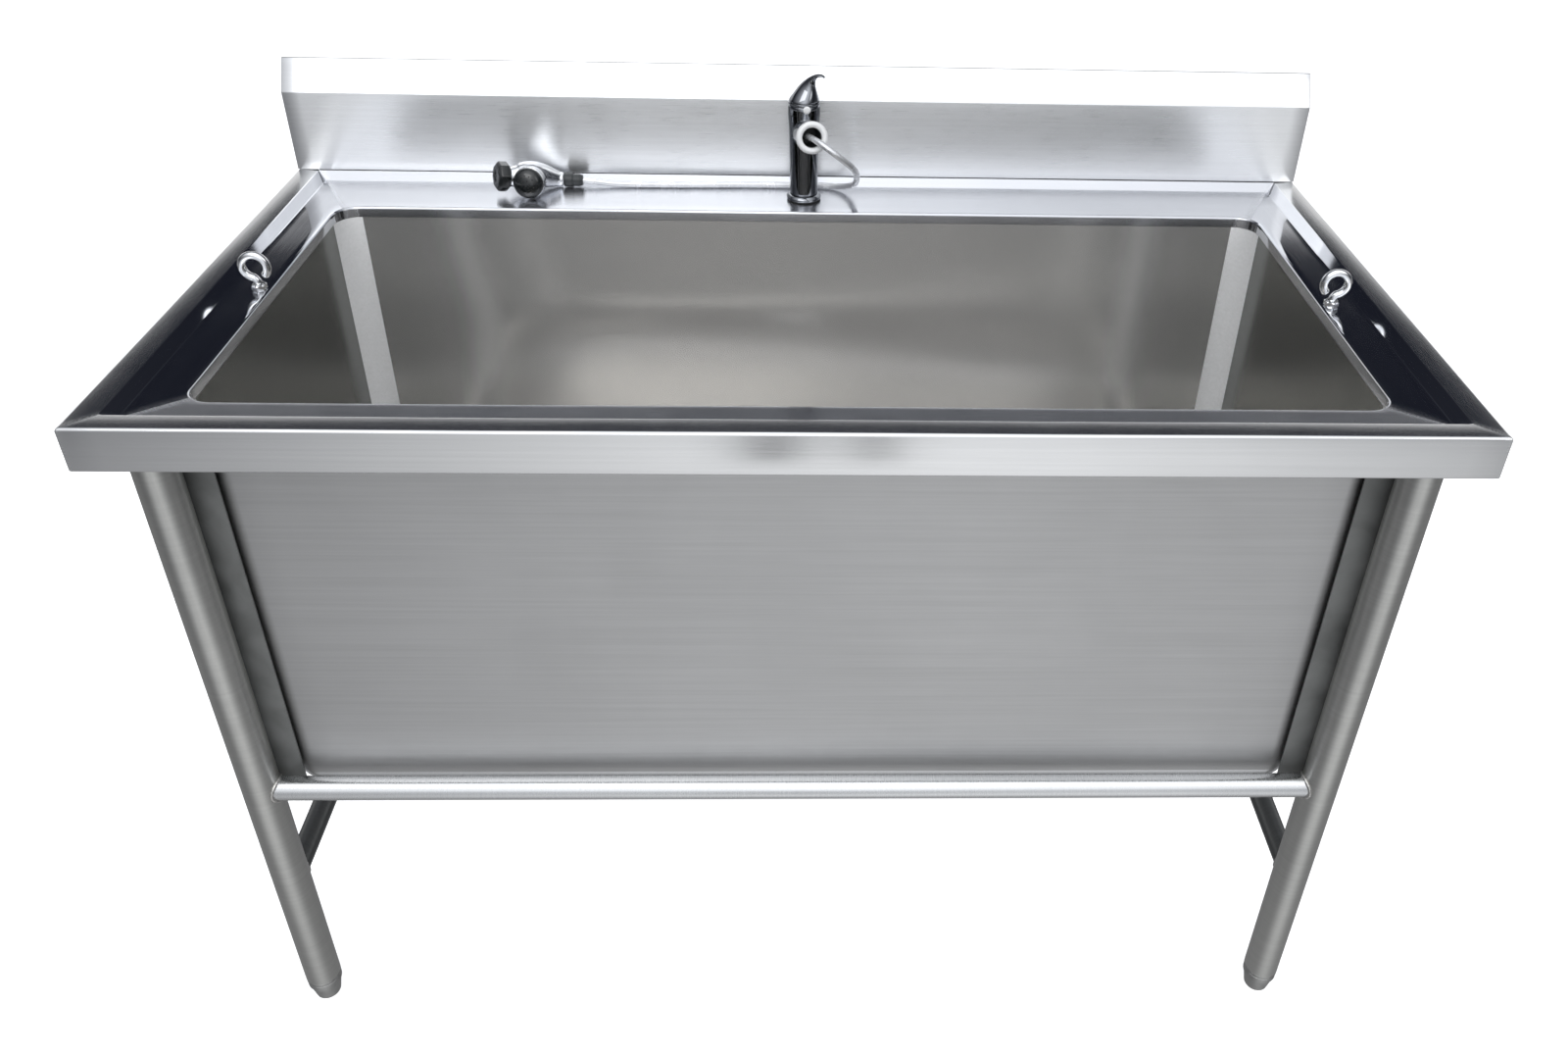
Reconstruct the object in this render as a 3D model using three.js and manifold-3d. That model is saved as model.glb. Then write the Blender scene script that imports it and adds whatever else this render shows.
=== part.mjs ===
// Stainless steel pet bathtub on a tube frame, with a pull-out spray mixer on its back deck.
// Millimetres, +Z up, +X to the right and +Y to the back. The origin is on the floor, in the
// middle of the bathtub's outline.
import * as THREE from 'three';
import { mergeVertices } from 'three/addons/utils/BufferGeometryUtils.js';
import Module from 'manifold-3d';

const wasm = await Module();
wasm.setup();

// Driving dimensions
const LENGTH = 1200;
const DEPTH = 610;
const RIM_HEIGHT = 800;
const SHEET = 1.5;
const GAP = 0.3;

// Deck: raised rim, sloped step, flat inner deck, fascia with a return flange
const RIM_WIDTH = 24;
const STEP = 10;
const FASCIA_HEIGHT = 42;
const FOLD_RADIUS = 3;
const FLANGE_WIDTH = 13;
const LIP_DEPTH = 12;
const OPENING_HALF = 527;
const OPENING_FRONT = -243;
const OPENING_BACK = 191;
const OPENING_RADIUS = 25;
const CORNER_STEPS = 5;

// Backsplash: upright part, then a band that leans back to the rear face
const SPLASH_UPRIGHT = 91.5;
const SPLASH_TOTAL = 128.4;
const SPLASH_FACE = DEPTH / 2 - RIM_WIDTH;

// Basin
const BASIN_FLOOR = 320;
const FLOOR_FALL = 7;
const FLOOR_BEND = 20;
const DRAIN_HOLE = 46;

// Frame
const LEG_X = 552;
const LEG_Y = 267;
const LEG_RADIUS = 19;
const BAR_RADIUS = 12.5;
const TUBE_WALL = 1.5;
const FRONT_BAR_HEIGHT = 341;
const SIDE_BAR_HEIGHT = 198;
const FOOT_HEIGHT = 30;
const INSERT_FLANGE = 4;
const STUD_RADIUS = 6;

// Eye bolts
const EYE_RING_RADIUS = 12.2;
const EYE_WIRE = 3.4;
const EYE_RING_HEIGHT = 25;
const EYE_PLACES = { left: [-537, -26], right: [537, -40] };

// Tap
const TAP_X = 2;
const TAP_Y = 233;
const TAP_BASE_RADIUS = 20;
const TAP_TOP = 113;
const SOCKET_AZIMUTH = 10;
const SOCKET_TILT = 13;
const SOCKET_HEIGHT = 79;
const SOCKET_REACH = 53.4;
const LEVER_AZIMUTH = 60;

const DECK_TOP = RIM_HEIGHT - STEP;
const DECK_UNDER = DECK_TOP - SHEET;
const DRAIN_Y = (OPENING_FRONT + OPENING_BACK) / 2;
const DRAIN_Z = BASIN_FLOOR - FLOOR_FALL;
const SIDES = { left: -1, right: 1 };
const ENDS = { front: -1, rear: 1 };

// Materials
function metal(name, color, roughness) {
  return new THREE.MeshStandardMaterial({ name, color, roughness, metalness: 1 });
}

function plain(name, color, roughness) {
  return new THREE.MeshStandardMaterial({ name, color, roughness, metalness: 0 });
}

const brushedSteel = metal('brushed_steel', 0xb9bcbf, 0.32);
const satinTube = metal('satin_tube', 0xa9acae, 0.38);
const polishedSteel = metal('polished_steel', 0xd6d8da, 0.16);
const chrome = metal('chrome', 0xc8ccd0, 0.06);
const brass = metal('brass', 0xb5924c, 0.35);
const whitePlastic = plain('white_plastic', 0xf2f3f3, 0.35);
const blackPlastic = plain('black_plastic', 0x16181a, 0.35);
const rubber = plain('rubber', 0x202020, 0.75);
const hoseSilver = plain('hose_silver', 0xc9cccf, 0.3);

// Shape helpers
const radians = THREE.MathUtils.degToRad;

function vector(x, y, z) {
  return new THREE.Vector3(x, y, z);
}

function revolve(profile, segments = 24) {
  const points = profile.map(([radius, height]) => new THREE.Vector2(radius, height));
  return new THREE.LatheGeometry(points, segments).rotateX(Math.PI / 2);
}

function rod(radius, bottom, top, segments = 24) {
  return revolve([[0, bottom], [radius, bottom], [radius, top], [0, top]], segments);
}

function pipe(inner, outer, bottom, top, segments = 24) {
  const profile = [[inner, bottom], [outer, bottom], [outer, top], [inner, top], [inner, bottom]];
  return revolve(profile, segments);
}

function block(width, depth, height, centre) {
  return new THREE.BoxGeometry(width, depth, height).translate(centre.x, centre.y, centre.z);
}

function outline(points) {
  return new THREE.Shape(points.map(([x, y]) => new THREE.Vector2(x, y)));
}

function extrude(points, depth) {
  return new THREE.ExtrudeGeometry(outline(points), { depth, bevelEnabled: false });
}

// An outline in the (y, z) plane, drawn out along X around the middle.
function extrudeAlongX(points, length) {
  return extrude(points, length)
    .translate(0, 0, -length / 2)
    .applyMatrix4(new THREE.Matrix4().makeBasis(vector(0, 1, 0), vector(0, 0, 1), vector(1, 0, 0)));
}

function polygon(radius, sides) {
  return Array.from({ length: sides }, (_, i) => {
    const angle = (2 * Math.PI * i) / sides;
    return [radius * Math.cos(angle), radius * Math.sin(angle)];
  });
}

function aim(geometry, origin, direction) {
  const turn = new THREE.Quaternion().setFromUnitVectors(vector(0, 0, 1), direction.clone().normalize());
  return geometry.applyQuaternion(turn).translate(origin.x, origin.y, origin.z);
}

// A skin through loops of equally many points: rising outside and falling inside where it closes.
function loft(loops, closed) {
  const count = loops[0].length;
  const positions = loops.flat().flatMap((point) => point.toArray());
  const triangles = [];
  const bands = closed ? loops.length : loops.length - 1;
  for (let band = 0; band < bands; band += 1) {
    const low = band * count;
    const high = ((band + 1) % loops.length) * count;
    for (let i = 0; i < count; i += 1) {
      const next = (i + 1) % count;
      triangles.push(low + i, low + next, high + next);
      triangles.push(low + i, high + next, high + i);
    }
  }
  const last = (loops.length - 1) * count;
  for (let i = 1; !closed && i < count - 1; i += 1) {
    triangles.push(0, i + 1, i);
    triangles.push(last, last + i, last + i + 1);
  }
  const geometry = new THREE.BufferGeometry();
  geometry.setAttribute('position', new THREE.Float32BufferAttribute(positions, 3));
  geometry.setIndex(triangles);
  return geometry;
}

function toSolid(geometry) {
  const bare = geometry.clone();
  bare.deleteAttribute('normal');
  bare.deleteAttribute('uv');
  const merged = mergeVertices(bare, 1e-4);
  const corners = merged.index.array;
  const triVerts = [];
  for (let i = 0; i < corners.length; i += 3) {
    const [a, b, c] = corners.slice(i, i + 3);
    if (a !== b && b !== c && c !== a) triVerts.push(a, b, c);
  }
  const vertProperties = merged.attributes.position.array;
  const mesh = new wasm.Mesh({ numProp: 3, vertProperties, triVerts: new Uint32Array(triVerts) });
  return new wasm.Manifold(mesh);
}

function toGeometry(solid) {
  const { vertProperties, triVerts } = solid.getMesh();
  const geometry = new THREE.BufferGeometry();
  geometry.setAttribute('position', new THREE.BufferAttribute(vertProperties, 3));
  geometry.setIndex(new THREE.BufferAttribute(triVerts, 1));
  return geometry;
}

function cut(base, ...tools) {
  return toGeometry(tools.reduce((solid, tool) => solid.subtract(toSolid(tool)), toSolid(base)));
}

function join(base, ...others) {
  return toGeometry(others.reduce((solid, other) => solid.add(toSolid(other)), toSolid(base)));
}

const tub = new THREE.Group();

function add(parent, name, geometry, material, position = vector(0, 0, 0)) {
  const mesh = new THREE.Mesh(geometry, material);
  mesh.name = name;
  mesh.position.copy(position);
  parent.add(mesh);
}

// Rounded rectangle seen from above, counter-clockwise, spaced alike for every radius.
function roundedLoop(half, front, back, radius, height) {
  const corners = [[half, front, 1, -1], [half, back, 1, 1], [-half, back, -1, 1], [-half, front, -1, -1]];
  const steps = Array.from({ length: CORNER_STEPS + 1 }, (_, i) => (90 * i) / CORNER_STEPS);
  return corners.flatMap(([x, y, alongX, alongY], quarter) => steps.map((step) => {
    const angle = radians(90 * (quarter - 1) + step);
    const centreX = x - alongX * radius;
    const centreY = y - alongY * radius;
    return vector(centreX + radius * Math.cos(angle), centreY + radius * Math.sin(angle), height);
  }));
}

function rimLoop(inset, height) {
  return roundedLoop(LENGTH / 2 - inset, inset - DEPTH / 2, DEPTH / 2 - inset, 1, height);
}

function openingLoop(outset, height) {
  const radius = OPENING_RADIUS + outset;
  return roundedLoop(OPENING_HALF + outset, OPENING_FRONT - outset, OPENING_BACK + outset, radius, height);
}

function drainLoop(height) {
  const count = 4 * (CORNER_STEPS + 1);
  return Array.from({ length: count }, (_, i) => {
    const angle = radians(-90 + (360 * (i + 0.5)) / count);
    return vector(DRAIN_HOLE * Math.cos(angle), DRAIN_Y + DRAIN_HOLE * Math.sin(angle), height);
  });
}

// Deck: one folded sheet all round the opening
function deckSkin() {
  const fold = FOLD_RADIUS * (1 - Math.SQRT1_2);
  const fasciaBottom = RIM_HEIGHT - FASCIA_HEIGHT;
  const rimUnder = RIM_HEIGHT - SHEET;
  return loft([
    rimLoop(0, fasciaBottom),
    rimLoop(0, RIM_HEIGHT - FOLD_RADIUS),
    rimLoop(fold, RIM_HEIGHT - fold),
    rimLoop(FOLD_RADIUS, RIM_HEIGHT),
    rimLoop(RIM_WIDTH, RIM_HEIGHT),
    rimLoop(RIM_WIDTH + STEP, DECK_TOP),
    openingLoop(FOLD_RADIUS, DECK_TOP),
    openingLoop(fold, DECK_TOP - fold),
    openingLoop(0, DECK_TOP - FOLD_RADIUS),
    openingLoop(0, DECK_TOP - LIP_DEPTH),
    openingLoop(SHEET, DECK_TOP - LIP_DEPTH),
    openingLoop(SHEET, DECK_TOP - FOLD_RADIUS),
    openingLoop(FOLD_RADIUS, DECK_UNDER),
    rimLoop(RIM_WIDTH + STEP + SHEET / 2, DECK_UNDER),
    rimLoop(RIM_WIDTH + SHEET / 2, rimUnder),
    rimLoop(FOLD_RADIUS, rimUnder),
    rimLoop(SHEET, RIM_HEIGHT - FOLD_RADIUS),
    rimLoop(SHEET, fasciaBottom + SHEET),
    rimLoop(FLANGE_WIDTH, fasciaBottom + SHEET),
    rimLoop(FLANGE_WIDTH, fasciaBottom),
  ], true);
}

function deck() {
  const tapHole = rod(16.5, DECK_UNDER - 2, DECK_TOP + 2).translate(TAP_X, TAP_Y, 0);
  const eyeHoles = Object.values(EYE_PLACES).map(([x, y]) => (
    rod(4.2, DECK_UNDER - 2, DECK_TOP + 2, 16).translate(x, y, 0)
  ));
  add(tub, 'deck', cut(deckSkin(), tapHole, ...eyeHoles), brushedSteel);
}

// Backsplash: folded sheet with closed ends, open underneath where it stands on the rim
function splashOutline(inset, bottom) {
  const front = SPLASH_FACE + inset;
  const back = DEPTH / 2 - inset;
  const slope = (SPLASH_TOTAL - SPLASH_UPRIGHT) / RIM_WIDTH;
  const shift = inset * Math.hypot(1, slope);
  const bandHeight = (y) => RIM_HEIGHT + SPLASH_UPRIGHT + (y - SPLASH_FACE) * slope - shift;
  return [[front, bottom], [back, bottom], [back, bandHeight(back)], [front, bandHeight(front)]];
}

function backsplash() {
  const bottom = RIM_HEIGHT + GAP;
  const outer = extrudeAlongX(splashOutline(0, bottom), LENGTH);
  const hollow = extrudeAlongX(splashOutline(SHEET, bottom - 5), LENGTH - 2 * SHEET);
  add(tub, 'backsplash', cut(outer, hollow), brushedSteel);
}

// Basin: single skin with coved corners and a floor that falls to the drain hole
function bendLoops(outset, radius, floor) {
  return [0, 30, 60, 90].map((degrees) => {
    const angle = radians(degrees);
    return openingLoop(outset - radius * (1 - Math.cos(angle)), floor + radius * (1 - Math.sin(angle)));
  });
}

function basin() {
  const top = DECK_TOP - LIP_DEPTH - GAP;
  const inside = bendLoops(0, FLOOR_BEND - SHEET, BASIN_FLOOR + SHEET);
  const outside = bendLoops(SHEET, FLOOR_BEND, BASIN_FLOOR).reverse();
  add(tub, 'basin', loft([
    openingLoop(0, top),
    ...inside,
    drainLoop(DRAIN_Z + SHEET),
    drainLoop(DRAIN_Z),
    ...outside,
    openingLoop(SHEET, top),
  ], true), brushedSteel);
}

// Rails: open channels under the deck, between the leg mounts
function channel(width, height) {
  const half = width / 2;
  return [
    [-half, 0], [half, 0], [half, height], [half - SHEET, height], [half - SHEET, SHEET],
    [SHEET - half, SHEET], [SHEET - half, height], [-half, height],
  ];
}

function rails() {
  const height = 24;
  const profile = channel(36, height);
  const bottom = DECK_UNDER - GAP - height;
  for (const [end, sign] of Object.entries(ENDS)) {
    const rail = extrudeAlongX(profile, 2 * 520);
    add(tub, `support_rail_${end}`, rail, satinTube, vector(0, sign * 277, bottom));
  }
  for (const [side, sign] of Object.entries(SIDES)) {
    const rail = extrudeAlongX(profile, 2 * 238).rotateZ(Math.PI / 2);
    add(tub, `support_rail_${side}`, rail, satinTube, vector(sign * 568, 0, bottom));
  }
}

// Tie angles: each covers a front corner of the basin and the gap beside it, down to the front crossbar
function tieAngles() {
  const bottom = FRONT_BAR_HEIGHT - BAR_RADIUS / 2;
  const top = RIM_HEIGHT - FASCIA_HEIGHT - 1;
  const thickness = 2;
  const cover = 14;
  const width = 39;
  const depth = 38;
  const inner = OPENING_HALF + SHEET + GAP;
  const front = OPENING_FRONT - SHEET - GAP - thickness;
  for (const [side, sign] of Object.entries(SIDES)) {
    const plateAt = vector(inner - cover + width / 2, front + thickness / 2, 0);
    const plate = block(width, thickness, top - bottom, plateAt);
    const web = block(thickness, depth, top - bottom, vector(inner + thickness / 2, front + depth / 2, 0));
    const angle = join(plate, web).scale(sign, 1, 1);
    if (sign < 0) angle.index.array.reverse();
    add(tub, `tie_angle_${side}`, angle, satinTube, vector(0, 0, (top + bottom) / 2));
  }
}

// Legs: mount plate with a spigot, tube, threaded insert and adjustable bullet foot
function legMount(sideSign, endSign) {
  const plate = block(50, 50, 3, vector(5 * sideSign, 4 * endSign, DECK_UNDER - GAP - 1.5));
  const spigot = rod(LEG_RADIUS - TUBE_WALL - GAP, DECK_UNDER - 45, DECK_UNDER - 3);
  return join(plate, spigot);
}

function bulletFoot() {
  return revolve([
    [0, 0], [12, 0], [13.5, 1.5], [17, 20], [17.2, 22], [18.6, 23], [18.6, FOOT_HEIGHT - 1],
    [17.6, FOOT_HEIGHT], [STUD_RADIUS, FOOT_HEIGHT], [STUD_RADIUS, 74], [0, 74],
  ], 16);
}

function footInsert() {
  const bore = STUD_RADIUS + GAP;
  const flange = FOOT_HEIGHT + GAP;
  const neck = LEG_RADIUS - TUBE_WALL - GAP;
  return revolve([
    [bore, flange], [LEG_RADIUS, flange], [LEG_RADIUS, flange + INSERT_FLANGE],
    [neck, flange + INSERT_FLANGE], [neck, flange + 32], [bore, flange + 32], [bore, flange],
  ]);
}

function legs() {
  const bottom = FOOT_HEIGHT + INSERT_FLANGE + 2 * GAP;
  const top = DECK_UNDER - 3 - 2 * GAP;
  for (const [end, endSign] of Object.entries(ENDS)) {
    for (const [side, sideSign] of Object.entries(SIDES)) {
      const place = vector(sideSign * LEG_X, endSign * LEG_Y, 0);
      add(tub, `leg_mount_${end}_${side}`, legMount(sideSign, endSign), satinTube, place);
      const tube = pipe(LEG_RADIUS - TUBE_WALL, LEG_RADIUS, bottom, top);
      add(tub, `leg_${end}_${side}`, tube, satinTube, place);
      add(tub, `foot_insert_${end}_${side}`, footInsert(), satinTube, place);
      add(tub, `foot_${end}_${side}`, bulletFoot(), polishedSteel, place);
    }
  }
}

// Crossbars: tubes coped to the legs they are welded to
function copedBar(span) {
  const bar = pipe(BAR_RADIUS - TUBE_WALL, BAR_RADIUS, -span, span).rotateY(Math.PI / 2);
  const ends = [-span, span].map((x) => rod(LEG_RADIUS + GAP, -40, 40).translate(x, 0, 0));
  return cut(bar, ...ends);
}

function crossbars() {
  const long = copedBar(LEG_X);
  add(tub, 'crossbar_front', long, satinTube, vector(0, -LEG_Y, FRONT_BAR_HEIGHT));
  add(tub, 'crossbar_rear', long.clone(), satinTube, vector(0, LEG_Y, SIDE_BAR_HEIGHT));
  for (const [side, sign] of Object.entries(SIDES)) {
    const bar = copedBar(LEG_Y).rotateZ(Math.PI / 2);
    add(tub, `side_bar_${side}`, bar, satinTube, vector(sign * LEG_X, 0, SIDE_BAR_HEIGHT));
  }
}

// Eye bolts: an open wire ring on a threaded shank, held by a nut above and below the deck
class RingArc extends THREE.Curve {
  constructor(radius, from, to) {
    super();
    Object.assign(this, { radius, from, to });
  }

  getPoint(t, target = new THREE.Vector3()) {
    const angle = radians(this.from + (this.to - this.from) * t);
    return target.set(this.radius * Math.cos(angle), 0, this.radius * Math.sin(angle));
  }
}

function sweep(path, radius, sides, steps) {
  const section = outline(polygon(radius, sides));
  return new THREE.ExtrudeGeometry(section, { steps, extrudePath: path, curveSegments: sides });
}

function hexNut(bore, flats, height) {
  const hexagon = extrude(polygon(flats / Math.sqrt(3), 6), height);
  return cut(hexagon, rod(bore, -1, height + 1, 32));
}

function eyeBolts() {
  const nutHeight = 6.5;
  for (const [side, [x, y]] of Object.entries(EYE_PLACES)) {
    const inboard = -SIDES[side];
    const arc = new RingArc(EYE_RING_RADIUS, -90, inboard > 0 ? -408 : 228);
    const ring = sweep(arc, EYE_WIRE, 8, 18).translate(0, 0, EYE_RING_HEIGHT);
    const shank = rod(EYE_WIRE, -20, EYE_RING_HEIGHT - EYE_RING_RADIUS, 12);
    const place = vector(x, y, DECK_TOP);
    add(tub, `eye_bolt_${side}`, join(ring, shank), polishedSteel, place);
    const nut = hexNut(EYE_WIRE + GAP, 13, nutHeight);
    add(tub, `eye_nut_${side}`, nut, polishedSteel, vector(x, y, DECK_TOP + GAP));
    const lower = DECK_UNDER - GAP - nutHeight;
    add(tub, `eye_lock_nut_${side}`, nut.clone(), satinTube, vector(x, y, lower));
  }
}

// Mixer tap. Its own frame stands on the deck at the tap's axis.
const tap = new THREE.Group();
tap.position.set(TAP_X, TAP_Y, DECK_TOP);
tub.add(tap);

function headed(azimuth, tilt) {
  const across = Math.cos(radians(tilt));
  const turn = radians(azimuth);
  return vector(Math.sin(turn) * across, -Math.cos(turn) * across, Math.sin(radians(tilt)));
}

const socketAxis = headed(SOCKET_AZIMUTH, SOCKET_TILT);
const socketRoot = vector(0, 0, SOCKET_HEIGHT);
const socketMouth = socketRoot.clone().addScaledVector(socketAxis, SOCKET_REACH);

function tapBody() {
  const ringHalf = 4.5;
  const column = revolve([
    [0, -52], [15.6, -52], [15.6, 8], [16.3, 8.5], [16.2, 20], [16.4, 33], [16.8, 50], [17.2, 72],
    [17.6, 90], [18.3, 103], [18.2, 110], [17.4, TAP_TOP], [0, TAP_TOP],
  ]);
  const spout = aim(rod(15.5, 0, SOCKET_REACH - ringHalf - GAP), socketRoot, socketAxis);
  const socketBore = aim(rod(10.8, 0, SOCKET_REACH + 5), socketRoot, socketAxis);
  const shankBore = rod(11, -60, 84);
  const cartridgeBore = rod(13.7, 96.5, TAP_TOP + 5);
  add(tap, 'tap_body', cut(join(column, spout), socketBore, shankBore, cartridgeBore), chrome);

  const ring = Array.from({ length: 9 }, (_, i) => {
    const angle = radians(45 * i - 90);
    return [14.5 + 3.5 * Math.cos(angle), ringHalf * Math.sin(angle)];
  });
  add(tap, 'tap_guide_ring', aim(revolve(ring), socketMouth, socketAxis), whitePlastic);
}

function tapBase() {
  add(tap, 'tap_gasket', pipe(15.9, 19, GAP, 1.8), rubber);
  add(tap, 'tap_base_ring', revolve([
    [15.9, 2.1], [TAP_BASE_RADIUS, 2.1], [TAP_BASE_RADIUS, 4.5], [18, 7], [15.9, 7.6], [15.9, 2.1],
  ]), chrome);
  add(tap, 'tap_backnut', hexNut(15.9, 40, 10), brass, vector(0, 0, -SHEET - GAP - 10));
}

function tapTop() {
  const bottom = 96.8;
  add(tap, 'tap_cartridge', revolve([
    [0, bottom], [13.4, bottom], [13.4, TAP_TOP - 0.5], [5.4, TAP_TOP - 0.5], [5.4, 102], [0, 102],
  ]), whitePlastic);
  add(tap, 'tap_cap', revolve([
    [0, 103], [5, 103], [5, TAP_TOP + GAP], [17.4, TAP_TOP + GAP], [18.2, TAP_TOP + 1],
    [17.8, TAP_TOP + 3.2], [0, TAP_TOP + 3.2],
  ]), chrome);
  const facing = headed(SOCKET_AZIMUTH, 0);
  const button = revolve([[0, 0], [4.2, 0], [4.2, 0.8], [2.6, 1.6], [0, 1.8]], 16);
  const buttonRoot = vector(0, 0, TAP_TOP - 2).addScaledVector(facing, 18.9);
  add(tap, 'tap_index_button', aim(button, buttonRoot, facing), whitePlastic);
}

// The lever: a low dome with a shark-fin grip that curls over at its tip. Its outline lies in the
// plane of the lever's own azimuth, and its rear underside is cut away so that it can tilt.
function leverShape() {
  const base = TAP_TOP + 3.5;
  const fin = extrude([
    [-17.6, base], [17.6, base], [15.6, 126], [13.8, 134], [14, 140], [17, 144.5], [22, 146.5], [26, 145],
    [27.5, 145.5], [25, 148], [19, 149.5], [13, 148], [6, 144], [0, 139.5], [-5.3, 134.5], [-10, 128.5],
    [-14.5, 121.5],
  ], 12).translate(0, 0, -6).rotateX(Math.PI / 2);
  const dome = revolve([[0, base], [18, base], [17.8, 120], [15, 127], [9, 131.5], [0, 133]], 32);
  const relief = block(20, 60, 20, vector(-10, 0, -10)).rotateY(radians(24)).translate(-12, 0, base);
  return cut(join(dome, fin), relief);
}

function lever() {
  const turn = radians(LEVER_AZIMUTH - 90);
  add(tap, 'tap_lever', leverShape().rotateZ(turn), chrome);
}

function inlets() {
  for (const [name, offset] of Object.entries({ hot: -5.3, cold: 5.3 })) {
    add(tap, `inlet_tail_${name}`, pipe(3.2, 4.8, -95, -30, 16), brass, vector(offset, 0, 0));
  }
}

// Spray handset, lying on the back deck to the left of the tap
const HANDSET_STATIONS = [
  [-283, 260.5, 799, 8.2], [-289, 260, 799.8, 9.2], [-297, 256.8, 802.8, 11.6], [-306, 251.6, 806.8, 14.2],
  [-315, 247, 809.4, 15.8], [-323.5, 242.8, 810.8, 15.6], [-330.7, 239.1, 810.2, 14],
  [-336.7, 235.9, 810.9, 12.4], [-340.5, 233.9, 811.7, 11.6],
];

function tube(stations, sides) {
  const path = new THREE.CatmullRomCurve3(stations.map(([x, y, z]) => vector(x, y, z)));
  const loops = stations.map(([x, y, z, radius], i) => {
    const heading = path.getTangent(i / (stations.length - 1));
    const turn = new THREE.Quaternion().setFromUnitVectors(vector(-1, 0, 0), heading);
    return Array.from({ length: sides }, (_, k) => {
      const angle = (-2 * Math.PI * k) / sides;
      const spoke = vector(0, radius * Math.cos(angle), radius * Math.sin(angle));
      return spoke.applyQuaternion(turn).add(vector(x, y, z));
    });
  });
  return loft(loops, false);
}

function handset() {
  const faceAxis = vector(-0.1, -0.98, 0.17);
  const bellRoot = vector(-312.8, 237, 807.2);
  const bell = aim(revolve([
    [0, 0], [14.5, 0], [17.2, 6], [18.2, 14], [18.2, 19], [0, 19],
  ]), bellRoot, faceAxis);
  add(tub, 'handset_body', join(tube(HANDSET_STATIONS, 16), bell), chrome);

  const face = revolve([[0, 19.3], [17.4, 19.3], [17, 23], [14.4, 27.4], [9, 30.4], [0, 31.5]]);
  add(tub, 'spray_face', aim(face, bellRoot, faceAxis), blackPlastic);

  const knob = extrude(polygon(17, 8), 14);
  const knobAxis = vector(-0.86, -0.46, 0.2);
  add(tub, 'mode_knob', aim(knob, vector(-341.3, 233.5, 811.9), knobAxis), blackPlastic);

  const coupling = revolve([[0, 0], [7.6, 0], [8.1, 2.5], [8.1, 10], [7.2, 12], [7.2, 18], [6, 22], [0, 22]]);
  add(tub, 'hose_coupling', aim(coupling, vector(-282, 260.5, 799), vector(1, 0, -0.03)), blackPlastic);
}

// Spray hose: out of the socket, round to the right, behind the tap and left along the deck
const HOSE_RADIUS = 3.6;
const HOSE_ROUTE = [
  [3.6, 206, 875.4], [5.2, 196.4, 877.8], [8.6, 187, 879.6], [14, 178.6, 879.8], [21.8, 171.2, 877.2],
  [32, 166.6, 871.4], [42.6, 167, 863.4], [51.8, 172.8, 854.2], [58.4, 182.6, 844.6], [61.8, 195, 835],
  [62.8, 208.4, 825.4], [62.8, 222, 816], [61.2, 235, 807.6], [56.4, 247, 800.8], [48, 256.2, 796.3],
  [36.6, 261.8, 794.3], [22, 264, 794], [-2, 264.5, 794], [-30, 264.5, 794], [-60, 264.5, 794],
  [-100, 263, 794], [-145, 261, 794], [-190, 260, 794], [-222, 260, 794.6], [-243, 260.3, 796.7],
  [-259.6, 260.5, 798.1],
];

function hose() {
  const points = HOSE_ROUTE.map(([x, y, z]) => vector(x, y, z));
  const path = new THREE.CatmullRomCurve3(points, false, 'centripetal');
  add(tub, 'spray_hose', sweep(path, HOSE_RADIUS, 8, 50), hoseSilver);
}

// Drain: flanged body through the floor, gasket and locknut below, hair strainer above
const drain = new THREE.Group();
drain.position.set(0, DRAIN_Y, DRAIN_Z);
tub.add(drain);

function drainBody() {
  add(drain, 'drain_body', revolve([
    [44, 2.4], [56, 2.4], [56, 3.4], [54, 4.4], [42, 4.4], [40, -16], [19, -19], [19, -40], [22, -40],
    [22, -21], [44, -17], [44, 2.4],
  ]), polishedSteel);
  add(drain, 'drain_gasket', pipe(44.4, 56, -3.3, -0.3), rubber);
  add(drain, 'drain_locknut', hexNut(44.4, 108, 8.4), brass, vector(0, 0, -12));
  add(drain, 'drain_tailpiece', revolve([
    [22.4, -95], [25, -95], [25, -38], [28, -36], [28, -27], [22.4, -27], [22.4, -95],
  ]), polishedSteel);
}

function strainer() {
  const plate = revolve([
    [0, 4.8], [46, 4.8], [46, 6], [36, 8.2], [20, 9.8], [6, 10.2], [5, 14], [7, 17], [7, 20], [0, 20],
  ]);
  const rows = [[6, 17], [12, 29]];
  const holes = rows.flatMap(([count, radius]) => Array.from({ length: count }, (_, i) => {
    const angle = (2 * Math.PI * i) / count;
    return rod(3, 0, 15, 6).translate(radius * Math.cos(angle), radius * Math.sin(angle), 0);
  }));
  const hollow = revolve([[0, 4], [42, 4], [42, 4.9], [34, 6.8], [20, 8.4], [0, 8.8]]);
  add(drain, 'drain_strainer', cut(plate, hollow, ...holes), polishedSteel);
}

deck();
backsplash();
basin();
rails();
tieAngles();
legs();
crossbars();
eyeBolts();
tapBody();
tapBase();
tapTop();
lever();
inlets();
handset();
hose();
drainBody();
strainer();

export default tub;
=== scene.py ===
import math

import bmesh
import bpy
from mathutils import Matrix, Vector, noise


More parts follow.
